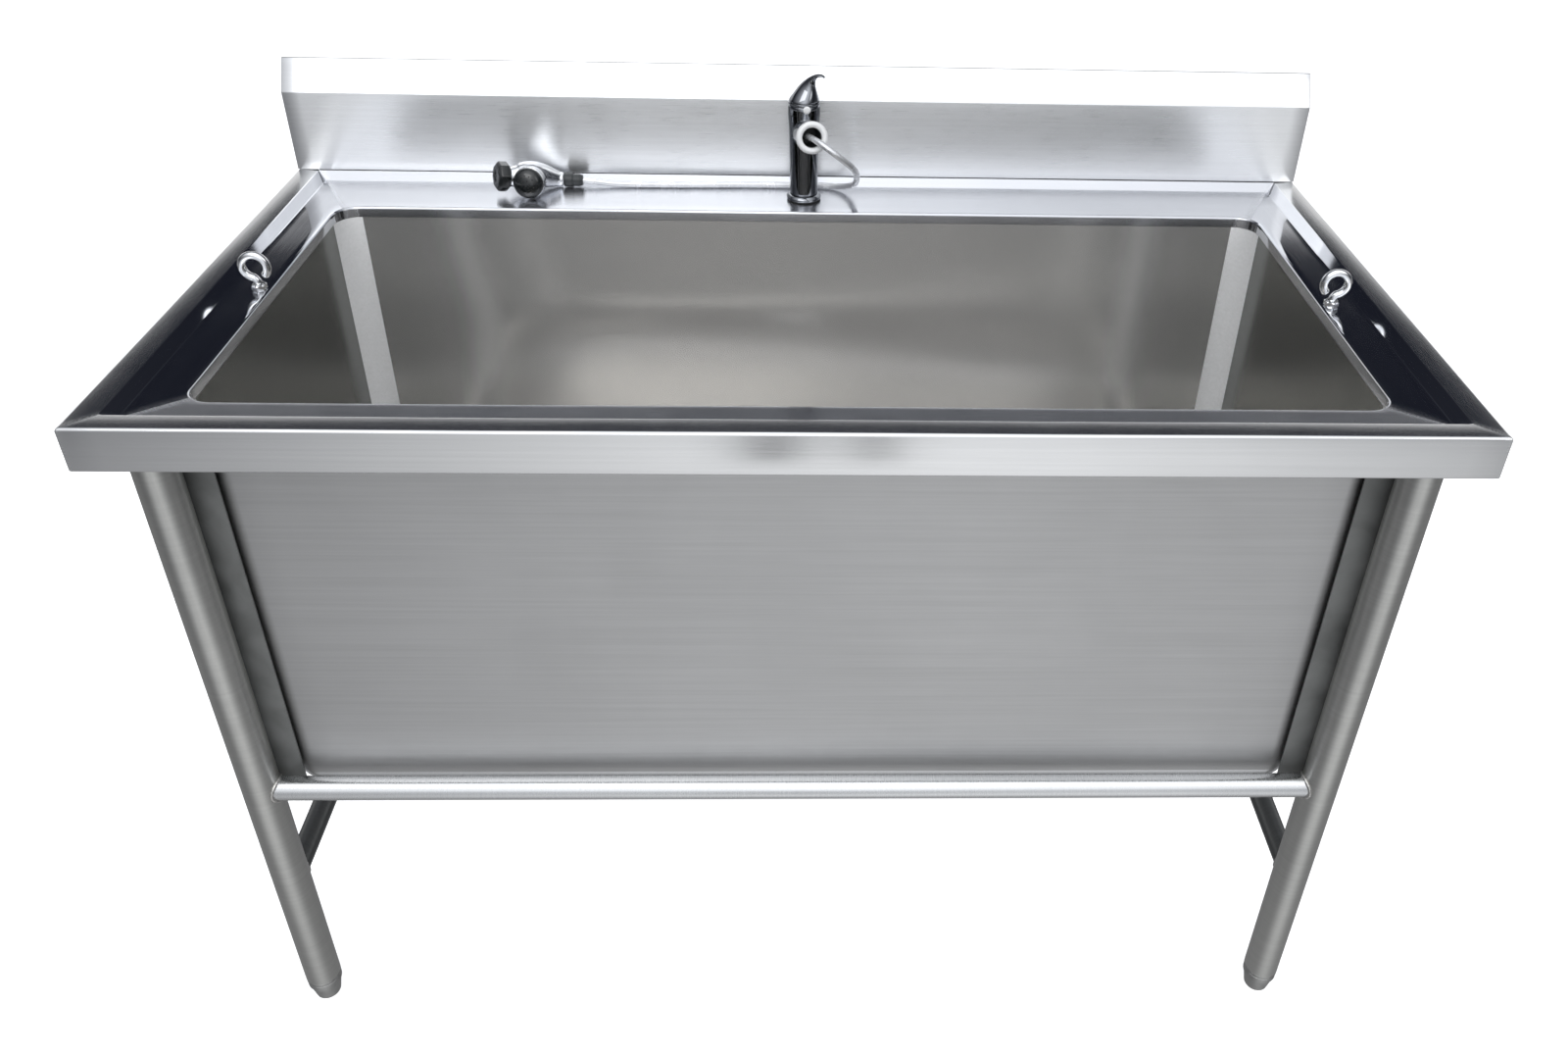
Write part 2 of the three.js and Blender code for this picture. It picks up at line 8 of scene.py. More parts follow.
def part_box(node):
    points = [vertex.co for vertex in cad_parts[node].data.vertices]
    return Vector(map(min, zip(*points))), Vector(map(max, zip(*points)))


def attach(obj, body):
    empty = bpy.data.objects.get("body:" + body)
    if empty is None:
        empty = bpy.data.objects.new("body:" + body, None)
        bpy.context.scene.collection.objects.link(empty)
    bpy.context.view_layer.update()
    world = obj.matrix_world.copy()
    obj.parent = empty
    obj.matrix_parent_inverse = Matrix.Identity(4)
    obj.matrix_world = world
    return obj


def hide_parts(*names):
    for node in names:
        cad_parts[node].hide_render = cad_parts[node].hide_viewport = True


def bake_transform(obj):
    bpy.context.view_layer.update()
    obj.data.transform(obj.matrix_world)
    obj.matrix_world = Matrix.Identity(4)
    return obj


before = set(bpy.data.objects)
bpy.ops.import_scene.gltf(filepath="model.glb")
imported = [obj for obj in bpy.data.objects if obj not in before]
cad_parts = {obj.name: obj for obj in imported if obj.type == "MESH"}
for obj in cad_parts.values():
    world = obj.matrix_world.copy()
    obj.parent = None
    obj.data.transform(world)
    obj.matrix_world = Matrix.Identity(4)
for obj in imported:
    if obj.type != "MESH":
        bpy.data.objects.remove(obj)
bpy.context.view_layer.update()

# Looks of the stainless pet bathtub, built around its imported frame. Metres, +Z up, +Y to the back.

MM = 0.001

# Sizes that every piece shares
SHEET = 1.5 * MM
RIM_WIDTH = 24 * MM
STEP = 10 * MM
RIM_FALL = 1.2 * MM
FLANGE_WIDTH = 13 * MM
LIP_DEPTH = 12 * MM
OPENING_RADIUS = 25 * MM
FLOOR_BEND = 18.5 * MM
FLOOR_FALL = 7 * MM
DRAIN_HOLE = 46 * MM
LEG_RADIUS = 19 * MM
BAR_RADIUS = 12.5 * MM
HOSE_DIAMETER = 7.2 * MM

deck_low, deck_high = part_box("deck")
basin_low, basin_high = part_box("basin")
RIM_Z = deck_high.z
DECK_Z = RIM_Z - STEP
OPENING_HALF = basin_high.x - SHEET
OPENING_FRONT = basin_low.y + SHEET
OPENING_BACK = basin_high.y - SHEET


def centre(node):
    low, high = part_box(node)
    return (low + high) / 2


LEG = centre("leg_front_right")
TAP = Vector((centre("tap_base_ring").x, centre("tap_base_ring").y, DECK_Z))
DRAIN = Vector((centre("drain_body").x, centre("drain_body").y, basin_low.z))


# Materials

class Nodes:
    """Shorthand for building one node tree."""

    def __init__(self, tree):
        self.tree = tree
        tree.nodes.clear()

    def add(self, kind, inputs=None, **settings):
        node = self.tree.nodes.new(kind)
        for name, value in settings.items():
            setattr(node, name, value)
        for name, value in (inputs or {}).items():
            if isinstance(value, bpy.types.NodeSocket):
                self.tree.links.new(value, node.inputs[name])
            else:
                node.inputs[name].default_value = value
        return node

    def math(self, operation, a, b=0.0):
        return self.add("ShaderNodeMath", {0: a, 1: b}, operation=operation).outputs[0]

    def scaled(self, vector, scale):
        return self.add("ShaderNodeMapping", {"Vector": vector, "Scale": scale}).outputs[0]

    def noise(self, vector, scale, detail=3.0, distortion=0.0):
        inputs = {"Vector": vector, "Scale": scale, "Detail": detail, "Distortion": distortion}
        return self.add("ShaderNodeTexNoise", inputs).outputs[0]

    def spread(self, value, low, high, start=0.3, stop=0.7):
        """Turns noise between start and stop into low to high."""
        inputs = {"Value": value, "From Min": start, "From Max": stop, "To Min": low, "To Max": high}
        return self.add("ShaderNodeMapRange", inputs).outputs[0]

    def step(self, value, start, stop):
        """Rises softly from 0 to 1 as the value goes from start to stop."""
        inputs = {"Value": value, "From Min": start, "From Max": stop}
        return self.add("ShaderNodeMapRange", inputs, interpolation_type="SMOOTHSTEP").outputs[0]

    def ramp(self, value, colours):
        node = self.add("ShaderNodeValToRGB", {"Fac": value})
        stops = node.color_ramp.elements
        while len(stops) < len(colours):
            stops.new(0.5)
        for stop, (place, colour) in zip(stops, colours):
            stop.position = place
            stop.color = (*colour, 1)
        return node.outputs[0]

    def bump(self, height, strength, distance):
        inputs = {"Height": height, "Strength": strength, "Distance": distance}
        return self.add("ShaderNodeBump", inputs).outputs[0]


def shader(name, **constants):
    """A new material with one Principled shader. Constants are named as its sockets, with _ for a space."""
    material = bpy.data.materials.new(name)
    material.use_nodes = True
    nodes = Nodes(material.node_tree)
    output = nodes.add("ShaderNodeOutputMaterial")
    surface = nodes.add("ShaderNodeBsdfPrincipled")
    for key, value in constants.items():
        surface.inputs[key.replace("_", " ")].default_value = value
    material.node_tree.links.new(surface.outputs[0], output.inputs[0])
    return material, nodes, surface


def link(nodes, surface, **values):
    for key, value in values.items():
        nodes.tree.links.new(value, surface.inputs[key.replace("_", " ")])


def tint(colour, factor):
    return tuple(min(1.0, part * factor) for part in colour)


def brushed(name, colour, roughness, anisotropy, contrast=0.05, seam=False, shine=1.0, grain=1.0):
    """Brushed stainless sheet. The map "brush" runs across the grain in u and along it in v, in metres.
    A shine under 1 adds the haze of a scratched surface, a grain under 1 makes the scratches shallower."""
    material, nodes, surface = shader(name, Metallic=shine, Anisotropic=anisotropy)
    run = nodes.add("ShaderNodeUVMap", uv_map="brush").outputs[0]
    place = nodes.add("ShaderNodeTexCoord").outputs["Object"]
    fine = nodes.noise(nodes.scaled(run, (2400, 22, 1)), 1, 3)
    streak = nodes.noise(nodes.scaled(run, (310, 3.5, 1)), 1, 5)
    cloud = nodes.noise(place, 4.5, 4, 0.6)
    smear = nodes.noise(place, 14, 3, 0.5)
    mixed = nodes.math("ADD", nodes.math("MULTIPLY", streak, 0.55), nodes.math("MULTIPLY", cloud, 0.45))
    shades = [(0.3, tint(colour, 1 - contrast)), (0.7, tint(colour, 1 + contrast))]
    rough = nodes.spread(fine, roughness * 0.88, roughness * 1.12)
    rough = nodes.math("ADD", rough, nodes.spread(smear, -0.008, 0.010))
    height = nodes.math("ADD", nodes.math("MULTIPLY", fine, 0.4), streak)
    if seam:
        gap = nodes.add("ShaderNodeUVMap", uv_map="seam").outputs[0]
        gap = nodes.add("ShaderNodeSeparateXYZ", {0: gap}).outputs[0]
        ground = nodes.spread(gap, 0.10, 0.0, 0.002, 0.009)
        rough = nodes.math("ADD", rough, ground)
    tangent = nodes.add("ShaderNodeTangent", direction_type="UV_MAP", uv_map="brush").outputs[0]
    link(nodes, surface, Base_Color=nodes.ramp(mixed, shades), Roughness=rough)
    link(nodes, surface, Normal=nodes.bump(height, 0.25 * grain, 0.06 * MM), Tangent=tangent)
    return material


def metal(name, colour, roughness, scale=60, contrast=0.06, pits=0.03, shine=1.0):
    """Plain metal for turned, cast or polished pieces: cloudy colour, smudges and small scratches."""
    material, nodes, surface = shader(name, Metallic=shine)
    place = nodes.add("ShaderNodeTexCoord").outputs["Object"]
    cloud = nodes.noise(place, scale, 4, 0.8)
    scratch = nodes.noise(nodes.scaled(place, (1, 1, 0.08)), scale * 14, 2)
    shades = [(0.3, tint(colour, 1 - contrast)), (0.7, tint(colour, 1 + contrast))]
    rough = nodes.spread(cloud, roughness * 0.8, roughness * 1.25)
    link(nodes, surface, Base_Color=nodes.ramp(cloud, shades), Roughness=rough)
    link(nodes, surface, Normal=nodes.bump(scratch, pits * 5, 0.05 * MM))
    return material


def plastic(name, colour, roughness, scale=90, contrast=0.12, coat=0.0):
    """Moulded plastic or rubber with a fine mould texture and faint handling marks."""
    material, nodes, surface = shader(name, Metallic=0.0, Coat_Weight=coat, Coat_Roughness=0.08)
    place = nodes.add("ShaderNodeTexCoord").outputs["Object"]
    cloud = nodes.noise(place, scale, 4, 1.0)
    pores = nodes.noise(place, scale * 40, 2)
    shades = [(0.3, tint(colour, 1 - contrast)), (0.7, tint(colour, 1 + contrast))]
    rough = nodes.spread(cloud, roughness * 0.85, roughness * 1.2)
    link(nodes, surface, Base_Color=nodes.ramp(cloud, shades), Roughness=rough)
    link(nodes, surface, Normal=nodes.bump(pores, 0.12, 0.04 * MM))
    return material


def hose_skin(name):
    """Silver hose: a fine spiral wrap under a clear glossy skin."""
    material, nodes, surface = shader(name, Metallic=0.55, Coat_Weight=0.6, Coat_Roughness=0.1)
    wrap = nodes.add("ShaderNodeUVMap", uv_map="brush").outputs[0]
    parts = nodes.add("ShaderNodeSeparateXYZ", {0: wrap})
    turns = nodes.math("ADD", nodes.math("MULTIPLY", parts.outputs[0], 620), parts.outputs[1])
    ridge = nodes.math("SINE", nodes.math("MULTIPLY", turns, 2 * math.pi))
    cloud = nodes.noise(nodes.add("ShaderNodeTexCoord").outputs["Object"], 70, 3)
    mixed = nodes.math("ADD", nodes.math("MULTIPLY", ridge, 0.12), cloud)
    shades = [(0.3, (0.62, 0.63, 0.65)), (0.7, (0.82, 0.83, 0.85))]
    link(nodes, surface, Base_Color=nodes.ramp(mixed, shades), Roughness=nodes.spread(cloud, 0.2, 0.32))
    link(nodes, surface, Normal=nodes.bump(ridge, 0.35, 0.1 * MM))
    return material


deck_steel = brushed("deck_steel", (0.62, 0.63, 0.66), 0.175, 0.98, seam=True)
side_deck_steel = brushed("side_deck_steel", (0.62, 0.63, 0.66), 0.08, 0.3, seam=True, grain=0.4)
fascia_steel = brushed("fascia_steel", (0.77, 0.775, 0.78), 0.17, 0.7, seam=True)
splash_steel = brushed("splash_steel", (0.90, 0.91, 0.92), 0.30, 0.8)
basin_steel = brushed("basin_steel", (0.90, 0.89, 0.87), 0.15, 0.3, 0.02, shine=0.8, grain=0.6)
floor_steel = brushed("floor_steel", (0.44, 0.435, 0.425), 0.15, 0.3, 0.03, grain=0.6)
# Painted shade: the basin's side walls get a far darker copy of the basin steel, for the shade they show.
shaded_side_wall_steel = brushed("shaded_side_wall_steel", (0.18, 0.185, 0.175), 0.15, 0.3, 0.03, grain=0.6)
panel_steel = brushed("panel_steel", (0.53, 0.53, 0.53), 0.44, 0.3, 0.08)
tube_steel = brushed("tube_steel", (0.53, 0.53, 0.51), 0.36, 0.2, 0.08)
# Painted highlight: a lighter copy of the tube steel, for the bright front crossbar and the basin's bright
# bottom bend.
highlit_tube_steel = brushed("highlit_tube_steel", (0.72, 0.73, 0.74), 0.26, 0.4, grain=0.4)
# A much darker copy of the tube steel, for the side bars.
darker_tube_steel = brushed("darker_tube_steel", (0.15, 0.155, 0.155), 0.42, 0.4, 0.12)
# Painted highlight: a near-white, barely metallic copy of the steel, for the bright reflections in the
# basin's inner corner coves.
corner_highlight_steel = metal("corner_highlight_steel", (0.96, 0.965, 0.96), 0.5, 240, 0.05, 0.3, shine=0.1)
weld_metal = metal("weld_metal", (0.55, 0.54, 0.52), 0.32, 300, 0.2, 0.08)
# Dull steel for the CAD rails, plates and tie angles; on the backsplash's rounded top edge it is painted
# shade, a dark line along the edge.
dull_steel_and_edge_shade = metal("dull_steel_and_edge_shade", (0.24, 0.245, 0.24), 0.6, 22, 0.2, 0.1, shine=0.6)
cast_steel = metal("cast_steel", (0.42, 0.42, 0.41), 0.45, 110, 0.1, 0.15)
polished_steel = metal("polished_steel", (0.86, 0.87, 0.88), 0.16)
turned_steel = metal("turned_steel", (0.66, 0.67, 0.68), 0.24, 45, 0.06, 0.06)
# Painted shade: the tap's chrome is darkened far below real chrome, for the dark reflections on it; the
# handset's chrome is a far lighter copy, a painted highlight for its bright reflections.
chrome = metal("chrome", (0.30, 0.31, 0.33), 0.06, 40, 0.03, 0.01)
highlit_chrome = metal("highlit_chrome", (0.80, 0.81, 0.83), 0.08, 40, 0.03, 0.01)
brass = metal("brass", (0.66, 0.48, 0.20), 0.34, 70, 0.1, 0.08)
white_plastic = plastic("white_plastic", (0.95, 0.955, 0.955), 0.32, 60, 0.02, 0.3)
black_plastic = plastic("black_plastic", (0.012, 0.014, 0.015), 0.2, 70, 0.2, 0.5)
grey_plastic = plastic("grey_plastic", (0.03, 0.034, 0.036), 0.38, 90, 0.2)
rubber = plastic("rubber", (0.018, 0.018, 0.018), 0.7, 120, 0.2)
hose_silver = hose_skin("hose_silver")


# Mesh helpers

def finish_mesh(name, build, smooth=32):
    """A linked object from a bmesh, with welded points, outward faces and sharp edges over an angle."""
    bmesh.ops.remove_doubles(build, verts=build.verts, dist=0.002 * MM)
    bmesh.ops.dissolve_degenerate(build, edges=build.edges, dist=0.001 * MM)
    bmesh.ops.recalc_face_normals(build, faces=build.faces)
    mesh = bpy.data.meshes.new(name)
    build.to_mesh(mesh)
    build.free()
    mesh.shade_smooth()
    mesh.set_sharp_from_angle(angle=math.radians(smooth))
    piece = bpy.data.objects.new(name, mesh)
    bpy.context.scene.collection.objects.link(piece)
    return piece


def skin(name, rings, uv, closed=False, capped=False, kind=None, seam=None, smooth=32):
    """A skin through rings of equally many points. uv(ring, point) maps the grain, and kind(ring, point)
    gives a face's material number."""
    build = bmesh.new()
    brush = build.loops.layers.uv.new("brush")
    gap = build.loops.layers.uv.new("seam") if seam else None
    points = [[build.verts.new(point) for point in ring] for ring in rings]
    count = len(rings[0])
    for i in range(len(rings) if closed else len(rings) - 1):
        for j in range(count):
            corners = ((i, j), (i, j + 1), (i + 1, j + 1), (i + 1, j))
            face = build.faces.new([points[a % len(rings)][b % count] for a, b in corners])
            face.material_index = kind(i, j) if kind else 0
            for loop, (a, b) in zip(face.loops, corners):
                loop[brush].uv = uv(a, b)
                if seam:
                    loop[gap].uv = (seam(a, b, i, j), 0)
    if capped:
        build.faces.new(list(reversed(points[0])))
        build.faces.new(points[-1])
    return finish_mesh(name, build, smooth)


def rounded(corners, steps=4, closed=False):
    """Corner points (a, b, fillet radius) as a line with its corners rounded off."""
    line = []
    for k, (a, b, radius) in enumerate(corners):
        here = Vector((a, b))
        if radius == 0 or (not closed and k in (0, len(corners) - 1)):
            line.append(here)
            continue
        before = Vector(corners[k - 1][:2]) - here
        after = Vector(corners[(k + 1) % len(corners)][:2]) - here
        half = before.angle(after) / 2
        reach = min(radius / math.tan(half), 0.49 * min(before.length, after.length))
        size = reach * math.tan(half)
        hub = here + (before.normalized() + after.normalized()).normalized() * size / math.sin(half)
        start = here + before.normalized() * reach - hub
        end = here + after.normalized() * reach - hub
        sweep_angle = math.pi - 2 * half
        for step in range(steps + 1):
            t = step / steps
            weights = math.sin((1 - t) * sweep_angle), math.sin(t * sweep_angle)
            line.append(hub + (start * weights[0] + end * weights[1]) / math.sin(sweep_angle))
    return line


def distances(line):
    """How far each point lies along a line of points."""
    along = [0.0]
    for a, b in zip(line, line[1:]):
        along.append(along[-1] + (b - a).length)
    return along


def lathe(name, profile, base, axis=(0, 0, 1), sides=64, smooth=32):
    """Turns a closed profile, or one that starts and ends on the axis, of (radius, height, fillet) in
    millimetres about an axis through base."""
    closed = profile[0][0] > 0
    line = [point * MM for point in rounded(profile, 4, closed)]
    along = distances(line + line[:1])
    turn = Vector((0, 0, 1)).rotation_difference(Vector(axis))
    angles = [2 * math.pi * k / sides for k in range(sides)]
    rings = []
    for radius, height in line:
        circle = [Vector((radius * math.cos(a), radius * math.sin(a), height)) for a in angles]
        rings.append([Vector(base) + turn @ point for point in circle])
    girth = 2 * math.pi * max(point.x for point in line) / sides
    return skin(name, rings, lambda i, j: (along[i], j * girth), closed, smooth=smooth)


def centripetal(knots, steps):
    """A centripetal Catmull-Rom curve through the knots, with the same ends as in the part's source."""
    size = len(knots[0])
    points = [Vector(knot) for knot in knots]
    points = [2 * points[0] - points[1], *points, 2 * points[-1] - points[-2]]
    curve = []
    for p0, p1, p2, p3 in zip(points, points[1:], points[2:], points[3:]):
        d0, d1, d2 = (math.sqrt((b - a).length) for a, b in ((p0, p1), (p1, p2), (p2, p3)))
        leave = ((p1 - p0) / d0 - (p2 - p0) / (d0 + d1) + (p2 - p1) / d1) * d1
        arrive = ((p2 - p1) / d1 - (p3 - p1) / (d1 + d2) + (p3 - p2) / d2) * d1
        for step in range(steps):
            t = step / steps
            bend = Vector((0,) * size)
            bend += p1 * (2 * t**3 - 3 * t**2 + 1) + leave * (t**3 - 2 * t**2 + t)
            bend += p2 * (3 * t**2 - 2 * t**3) + arrive * (t**3 - t**2)
            curve.append(bend)
    curve.append(points[-2])
    return curve


def sweep(name, path, radii, sides=24, loop=False, start_side=(0, 0, 1)):
    """A round bar along a path, with one radius or one for each point."""
    radii = radii if isinstance(radii, list) else [radii] * len(path)
    along = distances(path + path[:1])
    side = Vector(start_side)
    rings = []
    for k, point in enumerate(path):
        ahead = path[(k + 1) % len(path)] if loop else path[min(k + 1, len(path) - 1)]
        behind = path[k - 1] if loop else path[max(k - 1, 0)]
        heading = (ahead - behind).normalized()
        side = (side - heading * side.dot(heading)).normalized()
        other = heading.cross(side)
        angles = [2 * math.pi * n / sides for n in range(sides)]
        rings.append([point + (side * math.cos(a) + other * math.sin(a)) * radii[k] for a in angles])
    return skin(name, rings, lambda i, j: (along[i], j / sides), loop, not loop, smooth=50)


def baked(piece):
    """Applies the piece's modifiers to its mesh."""
    bpy.context.view_layer.update()
    shown = piece.evaluated_get(bpy.context.evaluated_depsgraph_get())
    mesh = bpy.data.meshes.new_from_object(shown)
    piece.modifiers.clear()
    piece.data = mesh
    return piece


def bevelled(piece, width, segments=3, angle=35):
    bevel = piece.modifiers.new("bevel", "BEVEL")
    bevel.width = width
    bevel.segments = segments
    bevel.limit_method = "ANGLE"
    bevel.angle_limit = math.radians(angle)
    baked(piece)
    piece.data.shade_smooth()
    piece.data.set_sharp_from_angle(angle=math.radians(28))
    return piece


def gathered(name, parts):
    """Joins several objects into one mesh object."""
    build = bmesh.new()
    for part in parts:
        build.from_mesh(part.data)
        bpy.data.objects.remove(part)
    return finish_mesh(name, build)


def fused(name, parts, voxel, rounds=6):
    """Joins closed bodies into one skin whose inner corners are rounded, as cast or moulded in one."""
    piece = gathered(name, parts)
    remesh = piece.modifiers.new("remesh", "REMESH")
    remesh.mode = "VOXEL"
    remesh.voxel_size = voxel
    soften = piece.modifiers.new("soften", "SMOOTH")
    soften.factor = 0.5
    soften.iterations = rounds
    baked(piece)
    piece.data.shade_smooth()
    return piece


def bored(piece, tools, smooth=32):
    """Cuts the tools out of the piece."""
    for tool in tools:
        cut = piece.modifiers.new("cut", "BOOLEAN")
        cut.object = tool
        cut.operation = "DIFFERENCE"
        cut.solver = "EXACT"
    baked(piece)
    for tool in tools:
        bpy.data.objects.remove(tool)
    piece.data.set_sharp_from_angle(angle=math.radians(smooth))
    return piece


def dress(piece, slot, *materials, body="root", nodes=()):
    """Gives a piece its materials, its body and the CAD nodes it stands for; its material slot is not used.
    """
    for material in materials:
        piece.data.materials.append(material)
    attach(piece, body)
    if nodes:
        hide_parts(*nodes)
    return piece


def headed(azimuth, tilt):
    """A direction, azimuth degrees to the right of the front and tilt degrees up."""
    turn, rise = math.radians(azimuth), math.radians(tilt)
    return Vector((math.sin(turn) * math.cos(rise), -math.cos(turn) * math.cos(rise), math.sin(rise)))


# Camera

def add_camera():
    data = bpy.data.cameras.new("camera")
    data.sensor_width = 36
    data.lens = 29.144
    data.shift_x = -0.0420
    data.shift_y = -0.0400
    data.clip_end = 40
    camera = bpy.data.objects.new("camera", data)
    bpy.context.scene.collection.objects.link(camera)
    yaw, pitch, roll = (math.radians(angle) for angle in (2.30, 33.44, 1.58))
    turn = Matrix.Rotation(-yaw, 4, "Z") @ Matrix.Rotation(math.pi / 2 - pitch, 4, "X")
    turn = turn @ Matrix.Rotation(roll, 4, "Z")
    camera.matrix_world = Matrix.Translation((0.0079, -1.1893, 1.3547)) @ turn
    bpy.context.scene.camera = camera


# Spray hose: the route of the part's own hose, in metres

HOSE_ROUTE = [
    (3.6, 206, 875.4), (5.2, 196.4, 877.8), (8.6, 187, 879.6), (14, 178.6, 879.8), (21.8, 171.2, 877.2),
    (32, 166.6, 871.4), (42.6, 167, 863.4), (51.8, 172.8, 854.2), (58.4, 182.6, 844.6), (61.8, 195, 835),
    (62.8, 208.4, 825.4), (62.8, 222, 816), (61.2, 235, 807.6), (56.4, 247, 800.8), (48, 256.2, 796.3),
    (36.6, 261.8, 794.3), (22, 264, 794), (-2, 264.5, 794), (-30, 264.5, 794), (-60, 264.5, 794),
    (-100, 263, 794), (-145, 261, 794), (-190, 260, 794), (-222, 260, 794.6), (-243, 260.3, 796.7),
    (-259.6, 260.5, 798.1),
]


def add_hose():
    path = centripetal([tuple(MM * part for part in knot) for knot in HOSE_ROUTE], 10)
    hose = sweep("spray_hose_tube", path, HOSE_DIAMETER / 2, 24)
    hose.data.materials.append(hose_silver)
    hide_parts("spray_hose")
    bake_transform(hose)


# Deck and basin: one ring of points for every line round the opening

SIDE_STEPS = 40
ARC_STEPS = 6
SIDE_POINTS = SIDE_STEPS + 2 * ARC_STEPS


def ring(half, front, back, radius, z):
    """Points round a rounded rectangle, from the middle of the front left corner, four equal sides."""
    hubs = [(-half + radius, front + radius), (half - radius, front + radius),
            (half - radius, back - radius), (-half + radius, back - radius)]
    points = []
    for side in range(4):
        start, end = Vector((*hubs[side], z)), Vector((*hubs[(side + 1) % 4], z))
        facing = math.radians(270 + 90 * side)
        spokes = [facing + math.radians(45 * k / ARC_STEPS) for k in range(-ARC_STEPS, ARC_STEPS)]
        arms = [Vector((math.cos(a), math.sin(a), 0)) * radius for a in spokes]
        points += [start + arm for arm in arms[:ARC_STEPS]]
        ahead = arms[ARC_STEPS]
        points += [start.lerp(end, k / SIDE_STEPS) + ahead for k in range(SIDE_STEPS + 1)]
        points += [end + arm for arm in arms[ARC_STEPS + 1:]]
    return points


def rim_ring(inset, z):
    return ring(deck_high.x - inset, deck_low.y + inset, deck_high.y - inset, 1.2 * MM, z)


def opening_ring(outset, z):
    reach = OPENING_RADIUS + outset
    return ring(OPENING_HALF + outset, OPENING_FRONT - outset, OPENING_BACK + outset, reach, z)


def between(first, last, steps):
    """Rings part of the way from one ring to another, without the two themselves."""
    return [[a.lerp(b, k / steps) for a, b in zip(first, last)] for k in range(1, steps)]


def side_of(point_number):
    return (point_number % (4 * SIDE_POINTS)) // SIDE_POINTS


def along_side(point, side):
    return point.x if side % 2 == 0 else point.y


def deck_skin(depth):
    """The deck's upper skin, or the under skin one sheet deeper, from the flange to the lip."""
    fascia_bottom = deck_low.z
    outer = rounded([
        (FLANGE_WIDTH, fascia_bottom + depth, 0), (depth, fascia_bottom + depth, 1.8 * MM),
        (depth, RIM_Z - depth, 3.2 * MM - depth),
        (RIM_WIDTH + depth * 0.4, RIM_Z - RIM_FALL - depth, 2.4 * MM),
        (RIM_WIDTH + STEP + depth * 0.4, DECK_Z - depth, 2.4 * MM),
        (RIM_WIDTH + 2 * STEP, DECK_Z - depth, 0),
    ], 5)[:-1]
    inner = rounded([
        (20 * MM, DECK_Z - depth, 0),
        (depth, DECK_Z - depth, 3 * MM - depth),
        (depth, DECK_Z - LIP_DEPTH, 0),
    ], 5)[1:]
    first = [rim_ring(inset, z) for inset, z in outer]
    last = [opening_ring(outset, z) for outset, z in inner]
    return first, between(first[-1], last[0], 6), last


def ripple(point, size, reach, height):
    """A slow dent in the sheet, the same on every run."""
    return noise.noise(Vector((point.x, point.y, point.z)) / reach + Vector((size, 3.1, 7.7))) * height


def add_deck():
    first, middle, last = deck_skin(0.0)
    upper = first + middle + last
    under_first, under_middle, under_last = deck_skin(SHEET)
    rings = upper + list(reversed(under_first + under_middle + under_last))
    for line in rings:
        for point in line:
            flat = point.z > DECK_Z - 2 * SHEET
            point.z += ripple(point, 1.3, 0.16, 0.35 * MM) if flat else 0
    spine = distances([line[SIDE_POINTS // 2] for line in rings + rings[:1]])
    fascia_bands = sum(1 for line in first if line[0].z < RIM_Z - 2 * MM) + 1

    def uv(i, j):
        # the grain follows each side, so a face on the next side starts a new strip
        return spine[i], along_side(rings[i % len(rings)][j % len(rings[0])], side_of(j))

    def seam(a, b, i, j):
        # how far the point is from the mitre at the nearer end of its side
        side = side_of(j)
        line = rings[a % len(rings)]
        mitres = side * SIDE_POINTS, (side + 1) * SIDE_POINTS
        here = along_side(line[b % len(line)], side)
        return min(abs(here - along_side(line[mitre % len(line)], side)) for mitre in mitres)

    looks = [deck_steel, fascia_steel, side_deck_steel]

    def kind(i, j):
        look = side_deck_steel if side_of(j) % 2 else deck_steel
        return looks.index(fascia_steel if i < fascia_bands else look)

    deck = skin("deck_sheet", rings, uv, closed=True, seam=seam, kind=kind)
    dress(deck, "brushed_steel", *looks, nodes=["deck"])
    holes = [lathe("tap_hole", [(0, -5, 0), (16.5, -5, 0), (16.5, 5, 0), (0, 5, 0)], TAP)]
    return bored(deck, holes)


